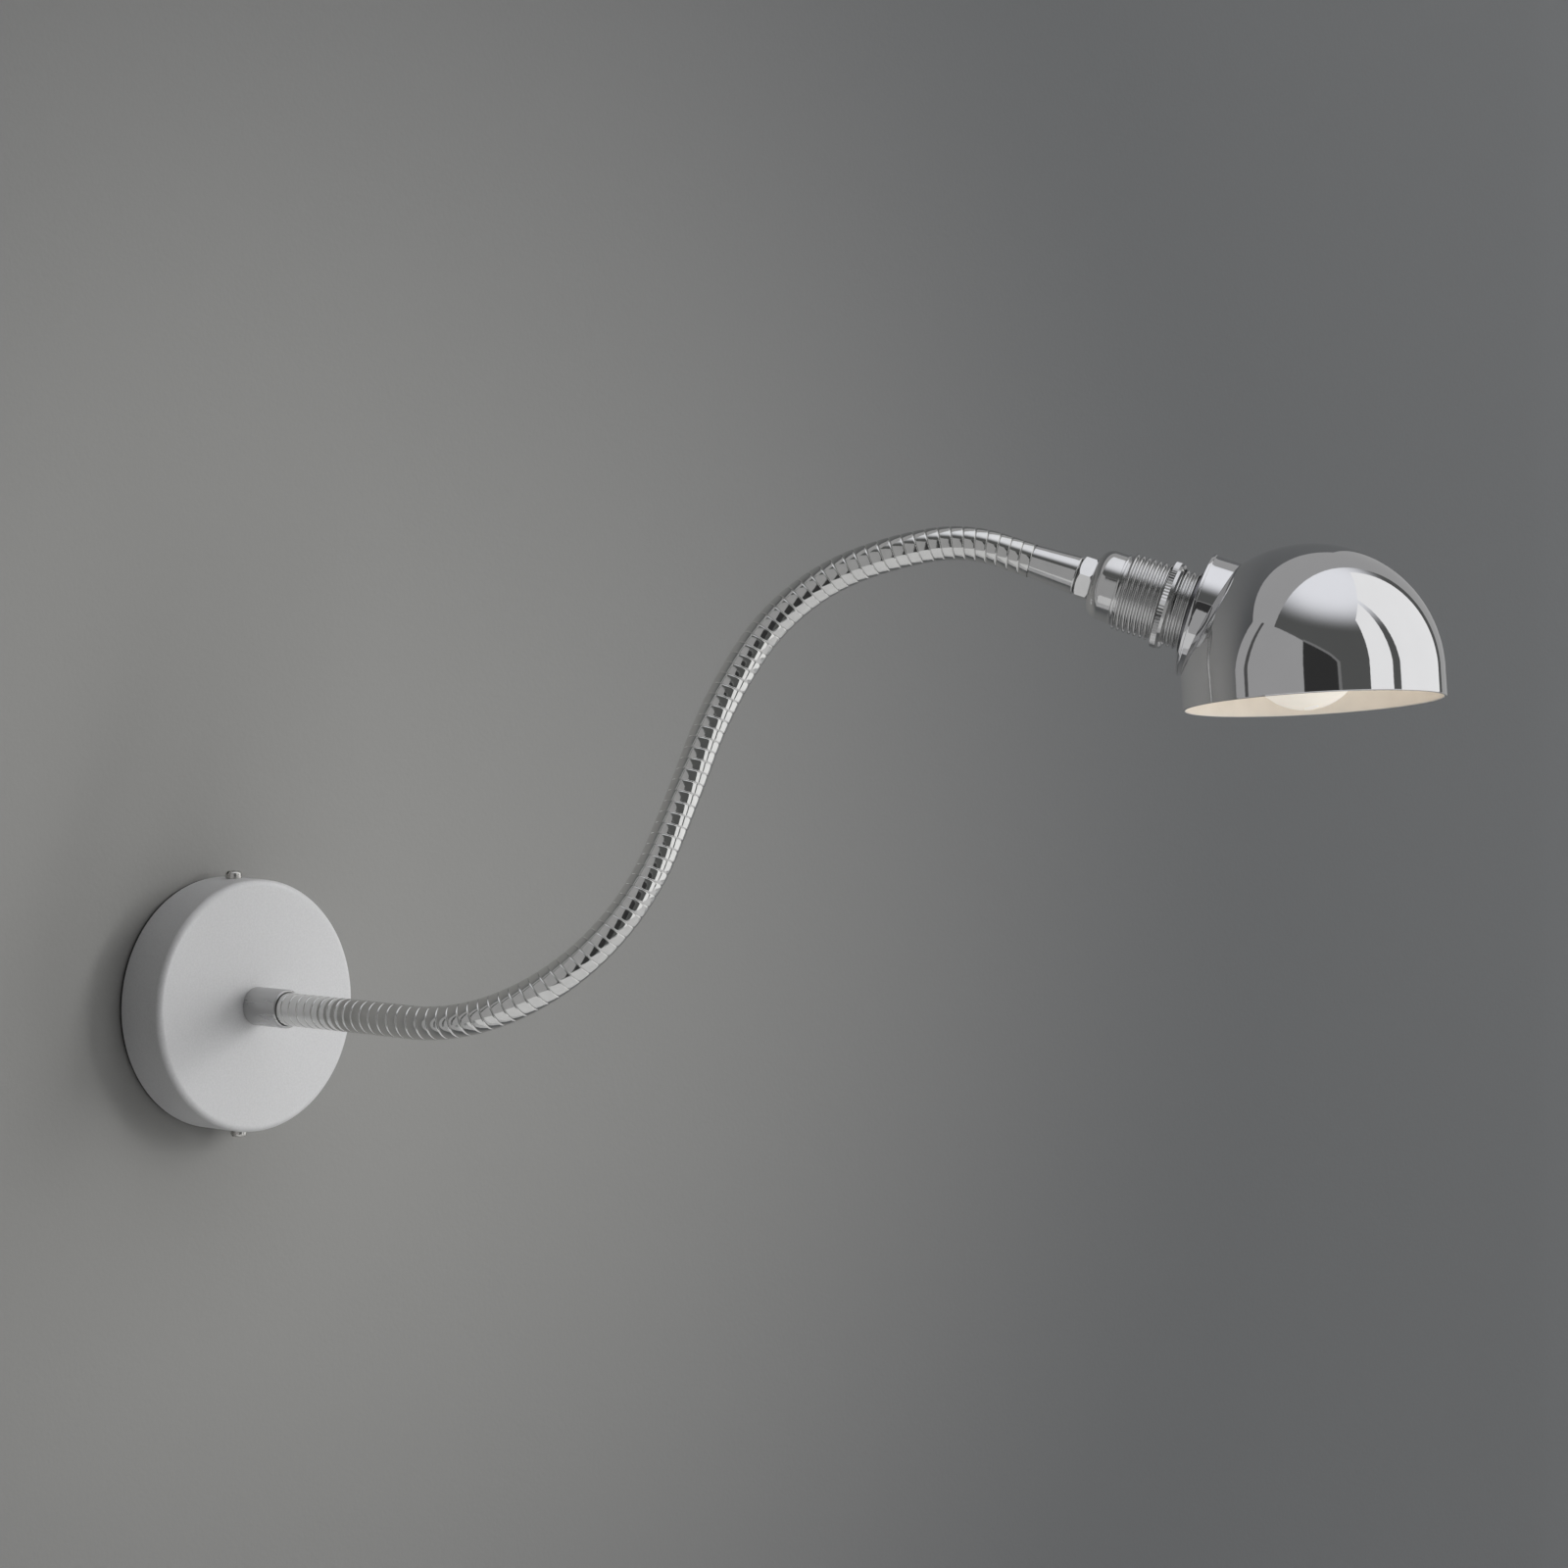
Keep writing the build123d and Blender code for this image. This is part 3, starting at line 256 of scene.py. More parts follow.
def smooth_tube(name, points, radius, around=20):
    """Plain tube through closely spaced points, with closed ends."""
    verts, faces = [], []
    last = len(points) - 1
    for i, p in enumerate(points):
        x, y = cross_axes(unit(points[min(i + 1, last)] - points[max(i - 1, 0)]))
        verts += [p + spoke(x, y, j, around) * radius for j in range(around)]
    for i in range(last):
        for j in range(around):
            k = (j + 1) % around
            faces.append([i * around + j, i * around + k, (i + 1) * around + k, (i + 1) * around + j])
    faces.append(list(range(around))[::-1])
    faces.append([last * around + j for j in range(around)])
    return new_mesh(name, verts, faces)


def ring_faces(around, n):
    """Faces of a closed ring that is made of `around` outlines of n points each."""
    faces = []
    for j in range(around):
        k = (j + 1) % around
        for i in range(n):
            m = (i + 1) % n
            faces.append([j * n + i, k * n + i, k * n + m, j * n + m])
    return faces


def revolve_mesh(name, origin, axis, side, outline, around):
    """Closed ring of an outline of (along, radius) points round an axis."""
    across = np.cross(axis, side)
    verts = []
    for j in range(around):
        out = spoke(side, across, j, around)
        verts += [origin + axis * along + out * radius for along, radius in outline]
    return new_mesh(name, verts, ring_faces(around, len(outline)))


def outward(obj):
    """Turns every face outwards."""
    bm = bmesh.new()
    bm.from_mesh(obj.data)
    bmesh.ops.remove_doubles(bm, verts=bm.verts, dist=1e-7)
    bmesh.ops.recalc_face_normals(bm, faces=bm.faces)
    bm.to_mesh(obj.data)
    bm.free()
    obj.data.shade_smooth()


def modifiers_applied(obj):
    bpy.context.view_layer.update()
    obj.data = bpy.data.meshes.new_from_object(obj.evaluated_get(bpy.context.evaluated_depsgraph_get()))
    obj.modifiers.clear()


SHARP_ANGLE = 32.0


def flats_kept(obj):
    """Smooth shading over small bevels, with the large faces kept true."""
    outward(obj)
    obj.data.set_sharp_from_angle(angle=math.radians(SHARP_ANGLE))
    weighted = obj.modifiers.new("weighted", "WEIGHTED_NORMAL")
    weighted.keep_sharp, weighted.weight = True, 60
    modifiers_applied(obj)


def rounded(points, radius, steps=3):
    """Closed outline with its corners rounded, save the slight ones and those on the axis."""
    least_turn = 25
    pts, out = [np.array(p, float) for p in points], []
    for i, p in enumerate(pts):
        before, after = pts[i - 1] - p, pts[(i + 1) % len(pts)] - p
        la, lb = np.linalg.norm(before), np.linalg.norm(after)
        turn = math.degrees(math.acos(np.clip(-(before @ after) / (la * lb), -1, 1)))
        if turn < least_turn or p[1] < 1e-6:
            out.append(tuple(p))
            continue
        t = min(radius, 0.4 * la, 0.4 * lb)
        a, b = p + before / la * t, p + after / lb * t
        for k in range(steps + 1):
            u = k / steps
            out.append(tuple(a * (1 - u) ** 2 + p * 2 * u * (1 - u) + b * u * u))
    return out


# ------------------------------------------------------------------ materials
def material(name):
    m = bpy.data.materials.new(name)
    m.use_nodes = True
    m.node_tree.nodes.clear()
    return m, m.node_tree.nodes, m.node_tree.links


def surface(
    name,
    colour,
    metallic,
    rough,
    rough_spread,
    colour_spread,
    scale,
    bump,
    bump_scale,
    stretch=(1, 1, 1),
    coat=0.0,
    emission=None,
    strength=0.0,
):
    """One procedural finish: a mottled colour, an uneven gloss and a fine grain, from object-space noise."""
    m, nodes, links = material(name + "_finish")
    out = nodes.new("ShaderNodeOutputMaterial")
    bsdf = nodes.new("ShaderNodeBsdfPrincipled")
    links.new(bsdf.outputs[0], out.inputs[0])
    coords = nodes.new("ShaderNodeTexCoord")
    mapping = nodes.new("ShaderNodeMapping")
    mapping.inputs["Scale"].default_value = stretch
    links.new(coords.outputs["Object"], mapping.inputs["Vector"])
    noise = nodes.new("ShaderNodeTexNoise")
    noise.inputs["Scale"].default_value = scale
    noise.inputs["Detail"].default_value = 5.0
    links.new(mapping.outputs[0], noise.inputs["Vector"])
    # the part of the noise's range that it mostly keeps to
    low, high = 0.3, 0.7
    ramp = nodes.new("ShaderNodeValToRGB")
    for stop, position, factor in zip(ramp.color_ramp.elements, (low, high), (1 - colour_spread, 1 + colour_spread)):
        stop.position, stop.color = position, (*np.clip(np.array(colour) * factor, 0, 1), 1)
    links.new(noise.outputs["Fac"], ramp.inputs["Fac"])
    links.new(ramp.outputs["Color"], bsdf.inputs["Base Color"])
    gloss = nodes.new("ShaderNodeMapRange")
    gloss.inputs["From Min"].default_value, gloss.inputs["From Max"].default_value = low, high
    gloss.inputs["To Min"].default_value = max(0.01, rough - rough_spread)
    gloss.inputs["To Max"].default_value = rough + rough_spread
    links.new(noise.outputs["Fac"], gloss.inputs["Value"])
    links.new(gloss.outputs["Result"], bsdf.inputs["Roughness"])
    bsdf.inputs["Metallic"].default_value = metallic
    bsdf.inputs["Coat Weight"].default_value = coat
    bsdf.inputs["Coat Roughness"].default_value = 0.08
    grain = nodes.new("ShaderNodeTexNoise")
    grain.inputs["Scale"].default_value = bump_scale
    grain.inputs["Detail"].default_value = 3.0
    links.new(mapping.outputs[0], grain.inputs["Vector"])
    relief = nodes.new("ShaderNodeBump")
    relief.inputs["Strength"].default_value = bump
    relief.inputs["Distance"].default_value = 0.0002
    links.new(grain.outputs["Fac"], relief.inputs["Height"])
    links.new(relief.outputs[0], bsdf.inputs["Normal"])
    if emission is not None:
        bsdf.inputs["Emission Color"].default_value = (*emission, 1)
        bsdf.inputs["Emission Strength"].default_value = strength
    return m


# name, colour, metallic, roughness, spread of roughness and of colour, mottle's scale, grain's strength and scale
M = {
    "chrome": surface("polished_chrome", (0.72, 0.72, 0.73), 1.0, 0.035, 0.012, 0.015, 60, 0.012, 700),
    "neck": surface("gooseneck_chrome", (0.70, 0.70, 0.69), 1.0, 0.085, 0.025, 0.04, 260, 0.03, 1500),
    "fit": surface("fittings_chrome", (0.68, 0.68, 0.68), 1.0, 0.09, 0.03, 0.03, 180, 0.03, 1200),
    "thread": surface("thread_chrome", (0.62, 0.62, 0.62), 1.0, 0.14, 0.04, 0.04, 300, 0.04, 1500),
    "dark": surface("dark_seat_ring", (0.16, 0.16, 0.17), 1.0, 0.25, 0.05, 0.05, 300, 0.04, 1500),
    "inside": surface("shade_inside_satin", (0.86, 0.83, 0.78), 0.35, 0.42, 0.06, 0.03, 150, 0.08, 1800),
    "paint": surface("rose_satin_paint", (0.63, 0.63, 0.635), 0.15, 0.46, 0.05, 0.05, 1400, 0.10, 2600),
    "satin": surface("rose_ferrule_satin", (0.52, 0.52, 0.52), 1.0, 0.30, 0.05, 0.05, 500, 0.08, 1600, (0.15, 1, 1)),
    "rubber": surface("gasket_rubber", (0.02, 0.02, 0.02), 0.0, 0.7, 0.08, 0.2, 400, 0.15, 1800),
    "zinc": surface("zinc_plate", (0.58, 0.58, 0.56), 1.0, 0.34, 0.10, 0.10, 120, 0.08, 1200),
    "nickel": surface("rim_screw_nickel", (0.60, 0.59, 0.57), 1.0, 0.22, 0.08, 0.08, 900, 0.08, 2500),
    "brass": surface("brass", (0.78, 0.58, 0.27), 1.0, 0.25, 0.08, 0.10, 200, 0.05, 1200),
    "white_plastic": surface("terminal_plastic", (0.78, 0.76, 0.70), 0.0, 0.45, 0.06, 0.04, 200, 0.05, 1500),
    "black_plastic": surface("bush_plastic", (0.03, 0.03, 0.03), 0.0, 0.5, 0.06, 0.2, 300, 0.06, 1600),
    "brown": surface("live_insulation", (0.22, 0.09, 0.04), 0.0, 0.4, 0.05, 0.1, 300, 0.05, 1600),
    "blue": surface("neutral_insulation", (0.03, 0.12, 0.42), 0.0, 0.4, 0.05, 0.1, 300, 0.05, 1600),
    "green": surface("earth_insulation", (0.25, 0.45, 0.05), 0.0, 0.4, 0.05, 0.1, 300, 0.05, 1600),
    "sheath": surface("lead_sheath", (0.03, 0.03, 0.03), 0.0, 0.5, 0.06, 0.2, 300, 0.06, 1600),
    "porcelain": surface("porcelain", (0.82, 0.81, 0.77), 0.0, 0.18, 0.04, 0.03, 120, 0.03, 900, coat=0.5),
    "lamp_metal": surface("lamp_cap_metal", (0.66, 0.65, 0.62), 1.0, 0.28, 0.08, 0.08, 300, 0.06, 1500),
    "black_glass": surface("lamp_base_glass", (0.02, 0.02, 0.025), 0.0, 0.12, 0.03, 0.1, 200, 0.02, 900),
    "opal": surface(
        "lamp_opal_glass",
        (0.55, 0.52, 0.47),
        0.0,
        0.25,
        0.04,
        0.02,
        90,
        0.02,
        800,
        emission=(1.0, 0.93, 0.82),
        strength=0.55,
    ),
    "clear": surface("lamp_stem_glass", (0.85, 0.88, 0.88), 0.0, 0.08, 0.02, 0.02, 200, 0.01, 900),
}

# the finish of each node; the gooseneck's nodes take "neck"
NODE_FINISH = {
    "rose_cover": "paint",
    "back_gasket": "rubber",
    "wall_bracket": "zinc",
    "rim_screws": "nickel",
    "earth_washer": "zinc",
    "earth_screw": "brass",
    "terminal_block": "white_plastic",
    "terminal_poles": "brass",
    "terminal_screws": "zinc",
    "block_screws": "zinc",
    "rose_nipple": "zinc",
    "toothed_washer": "zinc",
    "rose_locknut": "zinc",
    "nipple_bush": "black_plastic",
    "rose_ferrule": "satin",
    "rose_live_core": "brown",
    "rose_neutral_core": "blue",
    "rose_earth_core": "green",
    "holder_live_core": "brown",
    "holder_neutral_core": "blue",
    "holder_earth_core": "green",
    "supply_lead": "sheath",
    "head_ferrule": "fit",
    "head_nipple": "zinc",
    "hex_nut": "fit",
    "holder_cap": "fit",
    "holder_shell": "thread",
    "knurled_ring": "thread",
    "seat_ring": "dark",
    "shade_lock_ring": "fit",
    "insulator": "porcelain",
    "screw_contact": "brass",
    "centre_contact": "brass",
    "holder_terminals": "brass",
    "holder_terminal_screws": "zinc",
    "earth_tag": "brass",
    "lamp_contact": "lamp_metal",
    "lamp_base": "black_glass",
    "lamp_cap": "lamp_metal",
    "lamp_glass": "opal",
    "lamp_stem": "clear",
    "lamp_filament": "lamp_metal",
    "shade_collar": "chrome",
    "shade_dome": "chrome",
}
for node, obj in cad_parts.items():
    finish = M[NODE_FINISH.get(node, "neck")]
    if not obj.material_slots:
        obj.data.materials.append(finish)
    for s in obj.material_slots:
        s.material = finish


def dress(obj, finish):
    obj.data.materials.clear()
    obj.data.materials.append(M[finish])


# ------------------------------------------------------------------ gooseneck and lead, one piece round each flexing zone
GROOVE_R, BAND_EDGE_R = 5.62, 5.93
GROOVE_SHARE, CROWN_SHARE = 0.06, 0.40  # of a turn: half the groove, and from its edge to the top of the crown
BAND_SHARES = np.array([0.0, 0.025, 0.06, 0.12, 0.2, 0.32, 0.5, 0.68, 0.8, 0.88, 0.94, 0.975])


def band(share):
    """Outside radius over one turn: a wide crowned band with a narrow groove."""
    d = min(share, 1 - share)
    if d < GROOVE_SHARE:
        return GROOVE_R + (BAND_EDGE_R - GROOVE_R) * (d / GROOVE_SHARE) ** 0.6
    crown = math.sin(min(1.0, (d - GROOVE_SHARE) / CROWN_SHARE) * math.pi / 2)
    return BAND_EDGE_R + (NECK_R - BAND_EDGE_R) * crown


def rib_place(ribs):
    """Distance along the arm, this many ribs from the gooseneck's end in the rose ferrule."""
    return -NECK_IN_FERRULE + ribs * PITCH


# the flexing zones, and cuts in the middle of the stiff runs between them
zones, cuts, rib = [], [-NECK_IN_FERRULE], 0
for k, count in enumerate(RUN_RIBS):
    if k:
        cuts.append(rib_place(rib + count / 2))
    rib += count
    zones.append((rib_place(rib), rib_place(rib + FLEX_RIBS)))
    rib += FLEX_RIBS
cuts.append(ARM)

LEAD_STEP = 2.5
lead_back = POLES_OUT + LEAD_BEHIND_POLES
lead_front = BOSS_END - SEAT_GAP + LEAD_TAIL
for k, (zone_start, zone_end) in enumerate(zones):
    a, b = cuts[k], cuts[k + 1]
    name = f"gooseneck_{k + 1}"
    tube = helical_tube(name, a, b, band, NECK_BORE, BAND_SHARES, along_course, PITCH, -NECK_IN_FERRULE)
    dress(tube, "neck")
    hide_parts(f"gooseneck_run_{k + 1}", f"gooseneck_flex_{k + 1}", f"gooseneck_run_{k + 2}")
    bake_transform(tube)
    line = [course(float(s))[0] for s in np.linspace(a, b, int((b - a) / LEAD_STEP))]
    if k == 0:
        line.insert(0, OUT * lead_back)
    if k == len(zones) - 1:
        line.append(HEAD + FACING * lead_front)
    lead = smooth_tube(f"lead_{k + 1}", line, LEAD_R)
    dress(lead, "sheath")
    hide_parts("supply_lead")
    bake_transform(lead)


# ------------------------------------------------------------------ dome, with exact mirror normals
def set_normals(obj, normal_of):
    """Gives each face corner the true normal of the surface that the face belongs to."""
    mesh = obj.data
    normals = [None] * len(mesh.loops)
    for poly in mesh.polygons:
        for li in poly.loop_indices:
            v = np.array(mesh.vertices[mesh.loops[li].vertex_index].co)
            normals[li] = normal_of(v / MM, np.array(poly.normal), np.array(poly.center) / MM)
    mesh.normals_split_custom_set([tuple(map(float, n)) for n in normals])


def from_dome(point):
    """How far a point is along the dome's axis, and its way out from the ball's centre or from the skirt's axis."""
    offset = point - DOME_O
    along = offset @ DOME_DOWN
    return along, offset if along < 0 else offset - DOME_DOWN * along


ARC_STEPS = 72
RIM_EDGE, RIM_BEVEL = 0.35, 0.1
quarter = [math.radians(90 * i / ARC_STEPS) for i in range(ARC_STEPS + 1)]
outline = [(-DOME_R, 0.0)] + [(-DOME_R * math.cos(a), DOME_R * math.sin(a)) for a in quarter[1:]]
outline += [(DOME_SKIRT - RIM_EDGE, DOME_R), (DOME_SKIRT - RIM_BEVEL, DOME_R - RIM_BEVEL)]
outline += [(DOME_SKIRT, DOME_R - RIM_EDGE), (DOME_SKIRT, DOME_INSIDE + RIM_EDGE)]
outline += [(DOME_SKIRT - RIM_BEVEL, DOME_INSIDE + RIM_BEVEL), (DOME_SKIRT - RIM_EDGE, DOME_INSIDE)]
outline += [(-DOME_INSIDE * math.cos(a), DOME_INSIDE * math.sin(a)) for a in quarter[:0:-1]] + [(-DOME_INSIDE, 0.0)]
dome_side = unit(np.cross(DOME_DOWN, np.cross(FACING, SHADE_UP)))
dome = revolve_mesh("dome", DOME_O, DOME_DOWN, dome_side, outline, 192)
outward(dome)

CUT_START, CUT_END, CUT_R = PLATE_AT - 5, PLATE_AT + 46, COLLAR_R - COLLAR_WALL
cut_outline = [(CUT_START, 0.0), (CUT_END, 0.0), (CUT_END, CUT_R), (CUT_START, CUT_R)]
cutter = revolve_mesh("dome_cutter", HEAD, FACING, SHADE_UP, cut_outline, 128)
outward(cutter)
cut = dome.modifiers.new("collar_opening", "BOOLEAN")
cut.operation, cut.object, cut.solver = "DIFFERENCE", cutter, "EXACT"
modifiers_applied(dome)
bpy.data.objects.remove(cutter)
dome.data.shade_smooth()
dome.data.materials.clear()
dome.data.materials.append(M["chrome"])
dome.data.materials.append(M["inside"])


def dome_normal(v, flat, centre):
    """The ball's or the skirt's own normal, outside or inside. The rim and the opening's edge stay flat."""
    in_wall = 0.3
    along, way = from_dome(centre)
    r = np.linalg.norm(way)
    if along > DOME_SKIRT - RIM_EDGE + 0.01 or DOME_INSIDE + in_wall < r < DOME_R - in_wall:
        return flat
    n = unit(from_dome(v)[1])
    return n if r > (DOME_R + DOME_INSIDE) / 2 else -n


set_normals(dome, dome_normal)
INSIDE_BELOW = 0.45  # under the outside, where a face that looks inwards takes the inside's finish
for poly in dome.data.polygons:
    centre = np.array(poly.center) / MM
    inward = np.array(poly.normal) @ (centre - DOME_O) < 0
    poly.material_index = int(np.linalg.norm(from_dome(centre)[1]) < DOME_R - INSIDE_BELOW and inward)
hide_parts("shade_dome")
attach(dome, "shade")


# ------------------------------------------------------------------ collar, cut off along the dome
def collar_mesh(around=192):
    """Back plate and sleeve whose front edge follows the dome's outside."""
    wall_in, touch = COLLAR_R - COLLAR_WALL, DOME_R + JOINT_LINE
    across = np.cross(FACING, SHADE_UP)
    # each edge's rounding: points by how far they are along the axis and outwards from the sharp corner
    fillet = [(0, -0.3), (0.1, -0.08), (0.3, 0)]
    foot = [(0.25, 0), (0.06, 0.05), (0, 0.15)]
    front_edge = [(0, -0.15), (-0.05, -0.04), (-0.16, 0)]
    back_edge = [(0.16, 0), (0.05, -0.04), (0, -0.16)]
    hole_edge = [(0, 0.15), (0.05, 0.03), (0.15, 0)]

    def reach(out, radius):
        """Distance along the head's axis where the sleeve meets the dome."""
        d = HEAD + out * radius - DOME_O
        half = d @ FACING
        return -half - math.sqrt(half * half - d @ d + touch * touch)

    def eased(s, radius, rounding):
        return [(s + ds, radius + dr) for ds, dr in rounding]

    verts, n = [], 0
    for j in range(around):
        out = spoke(SHADE_UP, across, j, around)
        ring = [(PLATE_END, PLATE_HOLE)] + eased(PLATE_END, wall_in, fillet)
        ring += [(s, wall_in) for s in np.linspace(PLATE_END + fillet[-1][0], reach(out, wall_in), 5)[1:]]
        ring += [(s, COLLAR_R) for s in np.linspace(reach(out, COLLAR_R), PLATE_END + foot[0][0], 9)[:-1]]
        ring += eased(PLATE_END, COLLAR_R, foot) + eased(PLATE_END, COLLAR_RIM, front_edge)
        ring += eased(PLATE_AT, COLLAR_RIM, back_edge) + eased(PLATE_AT, PLATE_HOLE, hole_edge)
        n = len(ring)
        verts += [HEAD + FACING * s + out * r for s, r in ring]
    return new_mesh("collar", verts, ring_faces(around, n))


collar = collar_mesh()
flats_kept(collar)
dress(collar, "chrome")
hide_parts("shade_collar")
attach(collar, "shade")


# ------------------------------------------------------------------ turned fittings, with their small bevels
def turned_piece(name, node, outline, finish, origin=HEAD, axis=FACING, side=HEAD_UP, body="head"):
    obj = revolve_mesh(name, origin, axis, side, outline, 144)
    flats_kept(obj)
    dress(obj, finish)
    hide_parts(node)
    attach(obj, body)
    return obj


head_ferrule_outline = [
    (-SPIGOT, LEAD_HOLE),
    (HEAD_FERRULE - NIPPLE_IN_HEAD_FERRULE, LEAD_HOLE),
    (HEAD_FERRULE - NIPPLE_IN_HEAD_FERRULE, NIPPLE_HOLE),
    (HEAD_FERRULE, NIPPLE_HOLE),
    (HEAD_FERRULE, HEAD_FERRULE_END_R - FERRULE_CHAMFER),
    (HEAD_FERRULE - FERRULE_CHAMFER, HEAD_FERRULE_END_R),
    (0, HEAD_FERRULE_START_R),
    (0, SPIGOT_R),
    (-SPIGOT, SPIGOT_R),
]
turned_piece("ferrule_at_head", "head_ferrule", rounded(head_ferrule_outline, 0.22), "fit")


def cap_shoulder(radius, first, last, count):
    """Arc of the cap's rounded shoulder, from one angle to another, turned back from the cap's side."""
    at, out = CAP_AT + CAP_SHOULDER, CAP_R - CAP_SHOULDER
    return [(at - radius * math.sin(a), out + radius * math.cos(a)) for a in np.linspace(first, last, count)]


inside = CAP_R - CAP_WALL
cap_outline = [(CAP_END, CAP_R + BEAD_HEIGHT), (CAP_END, inside), (CAP_AT + CAP_SHOULDER, inside)]
cap_outline += cap_shoulder(CAP_SHOULDER - CAP_WALL, 0.1, math.pi / 2, 14)
cap_outline += [(CAP_AT + CAP_WALL, CAP_BOSS_BORE), (BOSS_END, CAP_BOSS_BORE)]
cap_outline += [(BOSS_END, NIPPLE_HOLE), (CAP_AT, NIPPLE_HOLE)]
cap_outline += cap_shoulder(CAP_SHOULDER, math.pi / 2, 0.0, 24)
cap_outline += [(CAP_END - BEAD_WIDTH, CAP_R), (CAP_END - BEAD_WIDTH, CAP_R + BEAD_HEIGHT)]
turned_piece("holder_cap_shell", "holder_cap", rounded(cap_outline, 0.18), "fit")

CREST_AT, CREST_HALF, FLANK = 0.475, 0.08, 0.36  # shares of a turn
THREAD_AT = CAP_END + SHELL_NECK


def thread_profile(share):
    """Radius over one turn of the body's thread, with rounded crest and root."""
    down_flank = min(1.0, max(0.0, (abs(share - CREST_AT) - CREST_HALF) / FLANK))
    return THREAD_R - THREAD_DEPTH + THREAD_DEPTH * (0.5 + 0.5 * math.cos(math.pi * down_flank))


thread = helical_tube(
    "holder_thread",
    THREAD_AT,
    SHELL_END,
    thread_profile,
    SHELL_BORE,
    np.linspace(0, 1, 13)[:-1],
    along_head,
    THREAD_PITCH,
    THREAD_AT,
    around=96,
    capped=True,
)
outward(thread)
neck_outline = [(CAP_END, SHELL_BORE), (CAP_END, SHELL_NECK_R), (THREAD_AT, SHELL_NECK_R), (THREAD_AT, SHELL_BORE)]
neck = revolve_mesh("thread_neck", HEAD, FACING, HEAD_UP, neck_outline, 96)
flats_kept(neck)
for obj in (thread, neck):
    dress(obj, "thread")
    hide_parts("holder_shell")
    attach(obj, "head")

ring_end, ring_bore = PLATE_AT - SEAT_GAP, THREAD_R + THREAD_GAP
ring_start = ring_end - SEAT_RING
ring_outline = [(ring_start, ring_bore), (ring_end, ring_bore), (ring_end, SEAT_RING_R), (ring_start, SEAT_RING_R)]
turned_piece("seat_ring_turned", "seat_ring", rounded(ring_outline, 0.2), "dark")

ferrule_end, pocket_r = ROSE_DEPTH + ROSE_FERRULE, NECK_R + HOLE_GAP
rose_ferrule_outline = [
    (ROSE_DEPTH, NIPPLE_HOLE),
    (ROSE_DEPTH + NIPPLE_IN_ROSE_FERRULE, NIPPLE_HOLE),
    (ROSE_DEPTH + NIPPLE_IN_ROSE_FERRULE, NIPPLE_BORE),
    (ferrule_end - NECK_IN_FERRULE, NIPPLE_BORE),
    (ferrule_end - NECK_IN_FERRULE, pocket_r),
    (ferrule_end, pocket_r),
    (ferrule_end, ROSE_FERRULE_R - FERRULE_CHAMFER),
    (ferrule_end - FERRULE_CHAMFER, ROSE_FERRULE_R),
    (ROSE_DEPTH, ROSE_FERRULE_R),
]
turned_piece(
    "ferrule_at_rose",
    "rose_ferrule",
    rounded(rose_ferrule_outline, 0.2),
    "satin",
    origin=np.zeros(3),
    axis=OUT,
    side=UP,
    body="rose",
)


# ------------------------------------------------------------------ wall and floor, in metres
def flat_object(name, corners):
    mesh = bpy.data.meshes.new(name)
    mesh.from_pydata(corners, [], [tuple(range(len(corners)))])
    return add_object(name, mesh)


# painted pool of light on the backdrops: brightest at this place in the first colour, fading to the second over this
# distance
PAINTED_LIGHT_CENTRE, PAINTED_LIGHT_REACH = (0, -0.035, 0.019), 0.666  # where the backdrop is in its first colour, and how far to its second


def backdrop(name, corners, lit_colour, shaded_colour, one_sided=False):
    """Rough flat object whose colour fades from one to the other, a painted pool of light round one place, seen from
    its front alone if it's one-sided.
    """
    obj = flat_object(name, corners)
    m, nodes, links = material(name + "_finish")
    out = nodes.new("ShaderNodeOutputMaterial")
    bsdf = nodes.new("ShaderNodeBsdfPrincipled")
    bsdf.inputs["Roughness"].default_value = 0.9
    bsdf.inputs["Specular IOR Level"].default_value = 0.2
    coords = nodes.new("ShaderNodeTexCoord")
    reach = nodes.new("ShaderNodeVectorMath")
    reach.operation = "DISTANCE"
    reach.inputs[1].default_value = PAINTED_LIGHT_CENTRE
    links.new(coords.outputs["Object"], reach.inputs[0])
    spread = nodes.new("ShaderNodeMapRange")
    spread.interpolation_type = "SMOOTHSTEP"
    spread.inputs["From Min"].default_value, spread.inputs["From Max"].default_value = 0.0, PAINTED_LIGHT_REACH
    links.new(reach.outputs["Value"], spread.inputs["Value"])
    mix = nodes.new("ShaderNodeMix")
    mix.data_type = "RGBA"
    mix.inputs["A"].default_value, mix.inputs["B"].default_value = (*lit_colour, 1), (*shaded_colour, 1)
    links.new(spread.outputs[0], mix.inputs["Factor"])
    links.new(mix.outputs["Result"], bsdf.inputs["Base Color"])
    noise = nodes.new("ShaderNodeTexNoise")
    noise.inputs["Scale"].default_value = 700.0
    links.new(coords.outputs["Object"], noise.inputs["Vector"])
    relief = nodes.new("ShaderNodeBump")
    relief.inputs["Strength"].default_value, relief.inputs["Distance"].default_value = 0.1, 0.0005
    links.new(noise.outputs["Fac"], relief.inputs["Height"])
    links.new(relief.outputs[0], bsdf.inputs["Normal"])
    if one_sided:
        clear = nodes.new("ShaderNodeBsdfTransparent")
        geometry = nodes.new("ShaderNodeNewGeometry")
        choose = nodes.new("ShaderNodeMixShader")
        links.new(geometry.outputs["Backfacing"], choose.inputs[0])
        links.new(bsdf.outputs[0], choose.inputs[1])
        links.new(clear.outputs[0], choose.inputs[2])
        links.new(choose.outputs[0], out.inputs[0])
    else:
        links.new(bsdf.outputs[0], out.inputs[0])
    obj.data.materials.append(m)
    return obj


def wall_corners(x, y_low, y_high, z_low, z_high):
    return [(x, y_low, z_low), (x, y_high, z_low), (x, y_high, z_high), (x, y_low, z_high)]


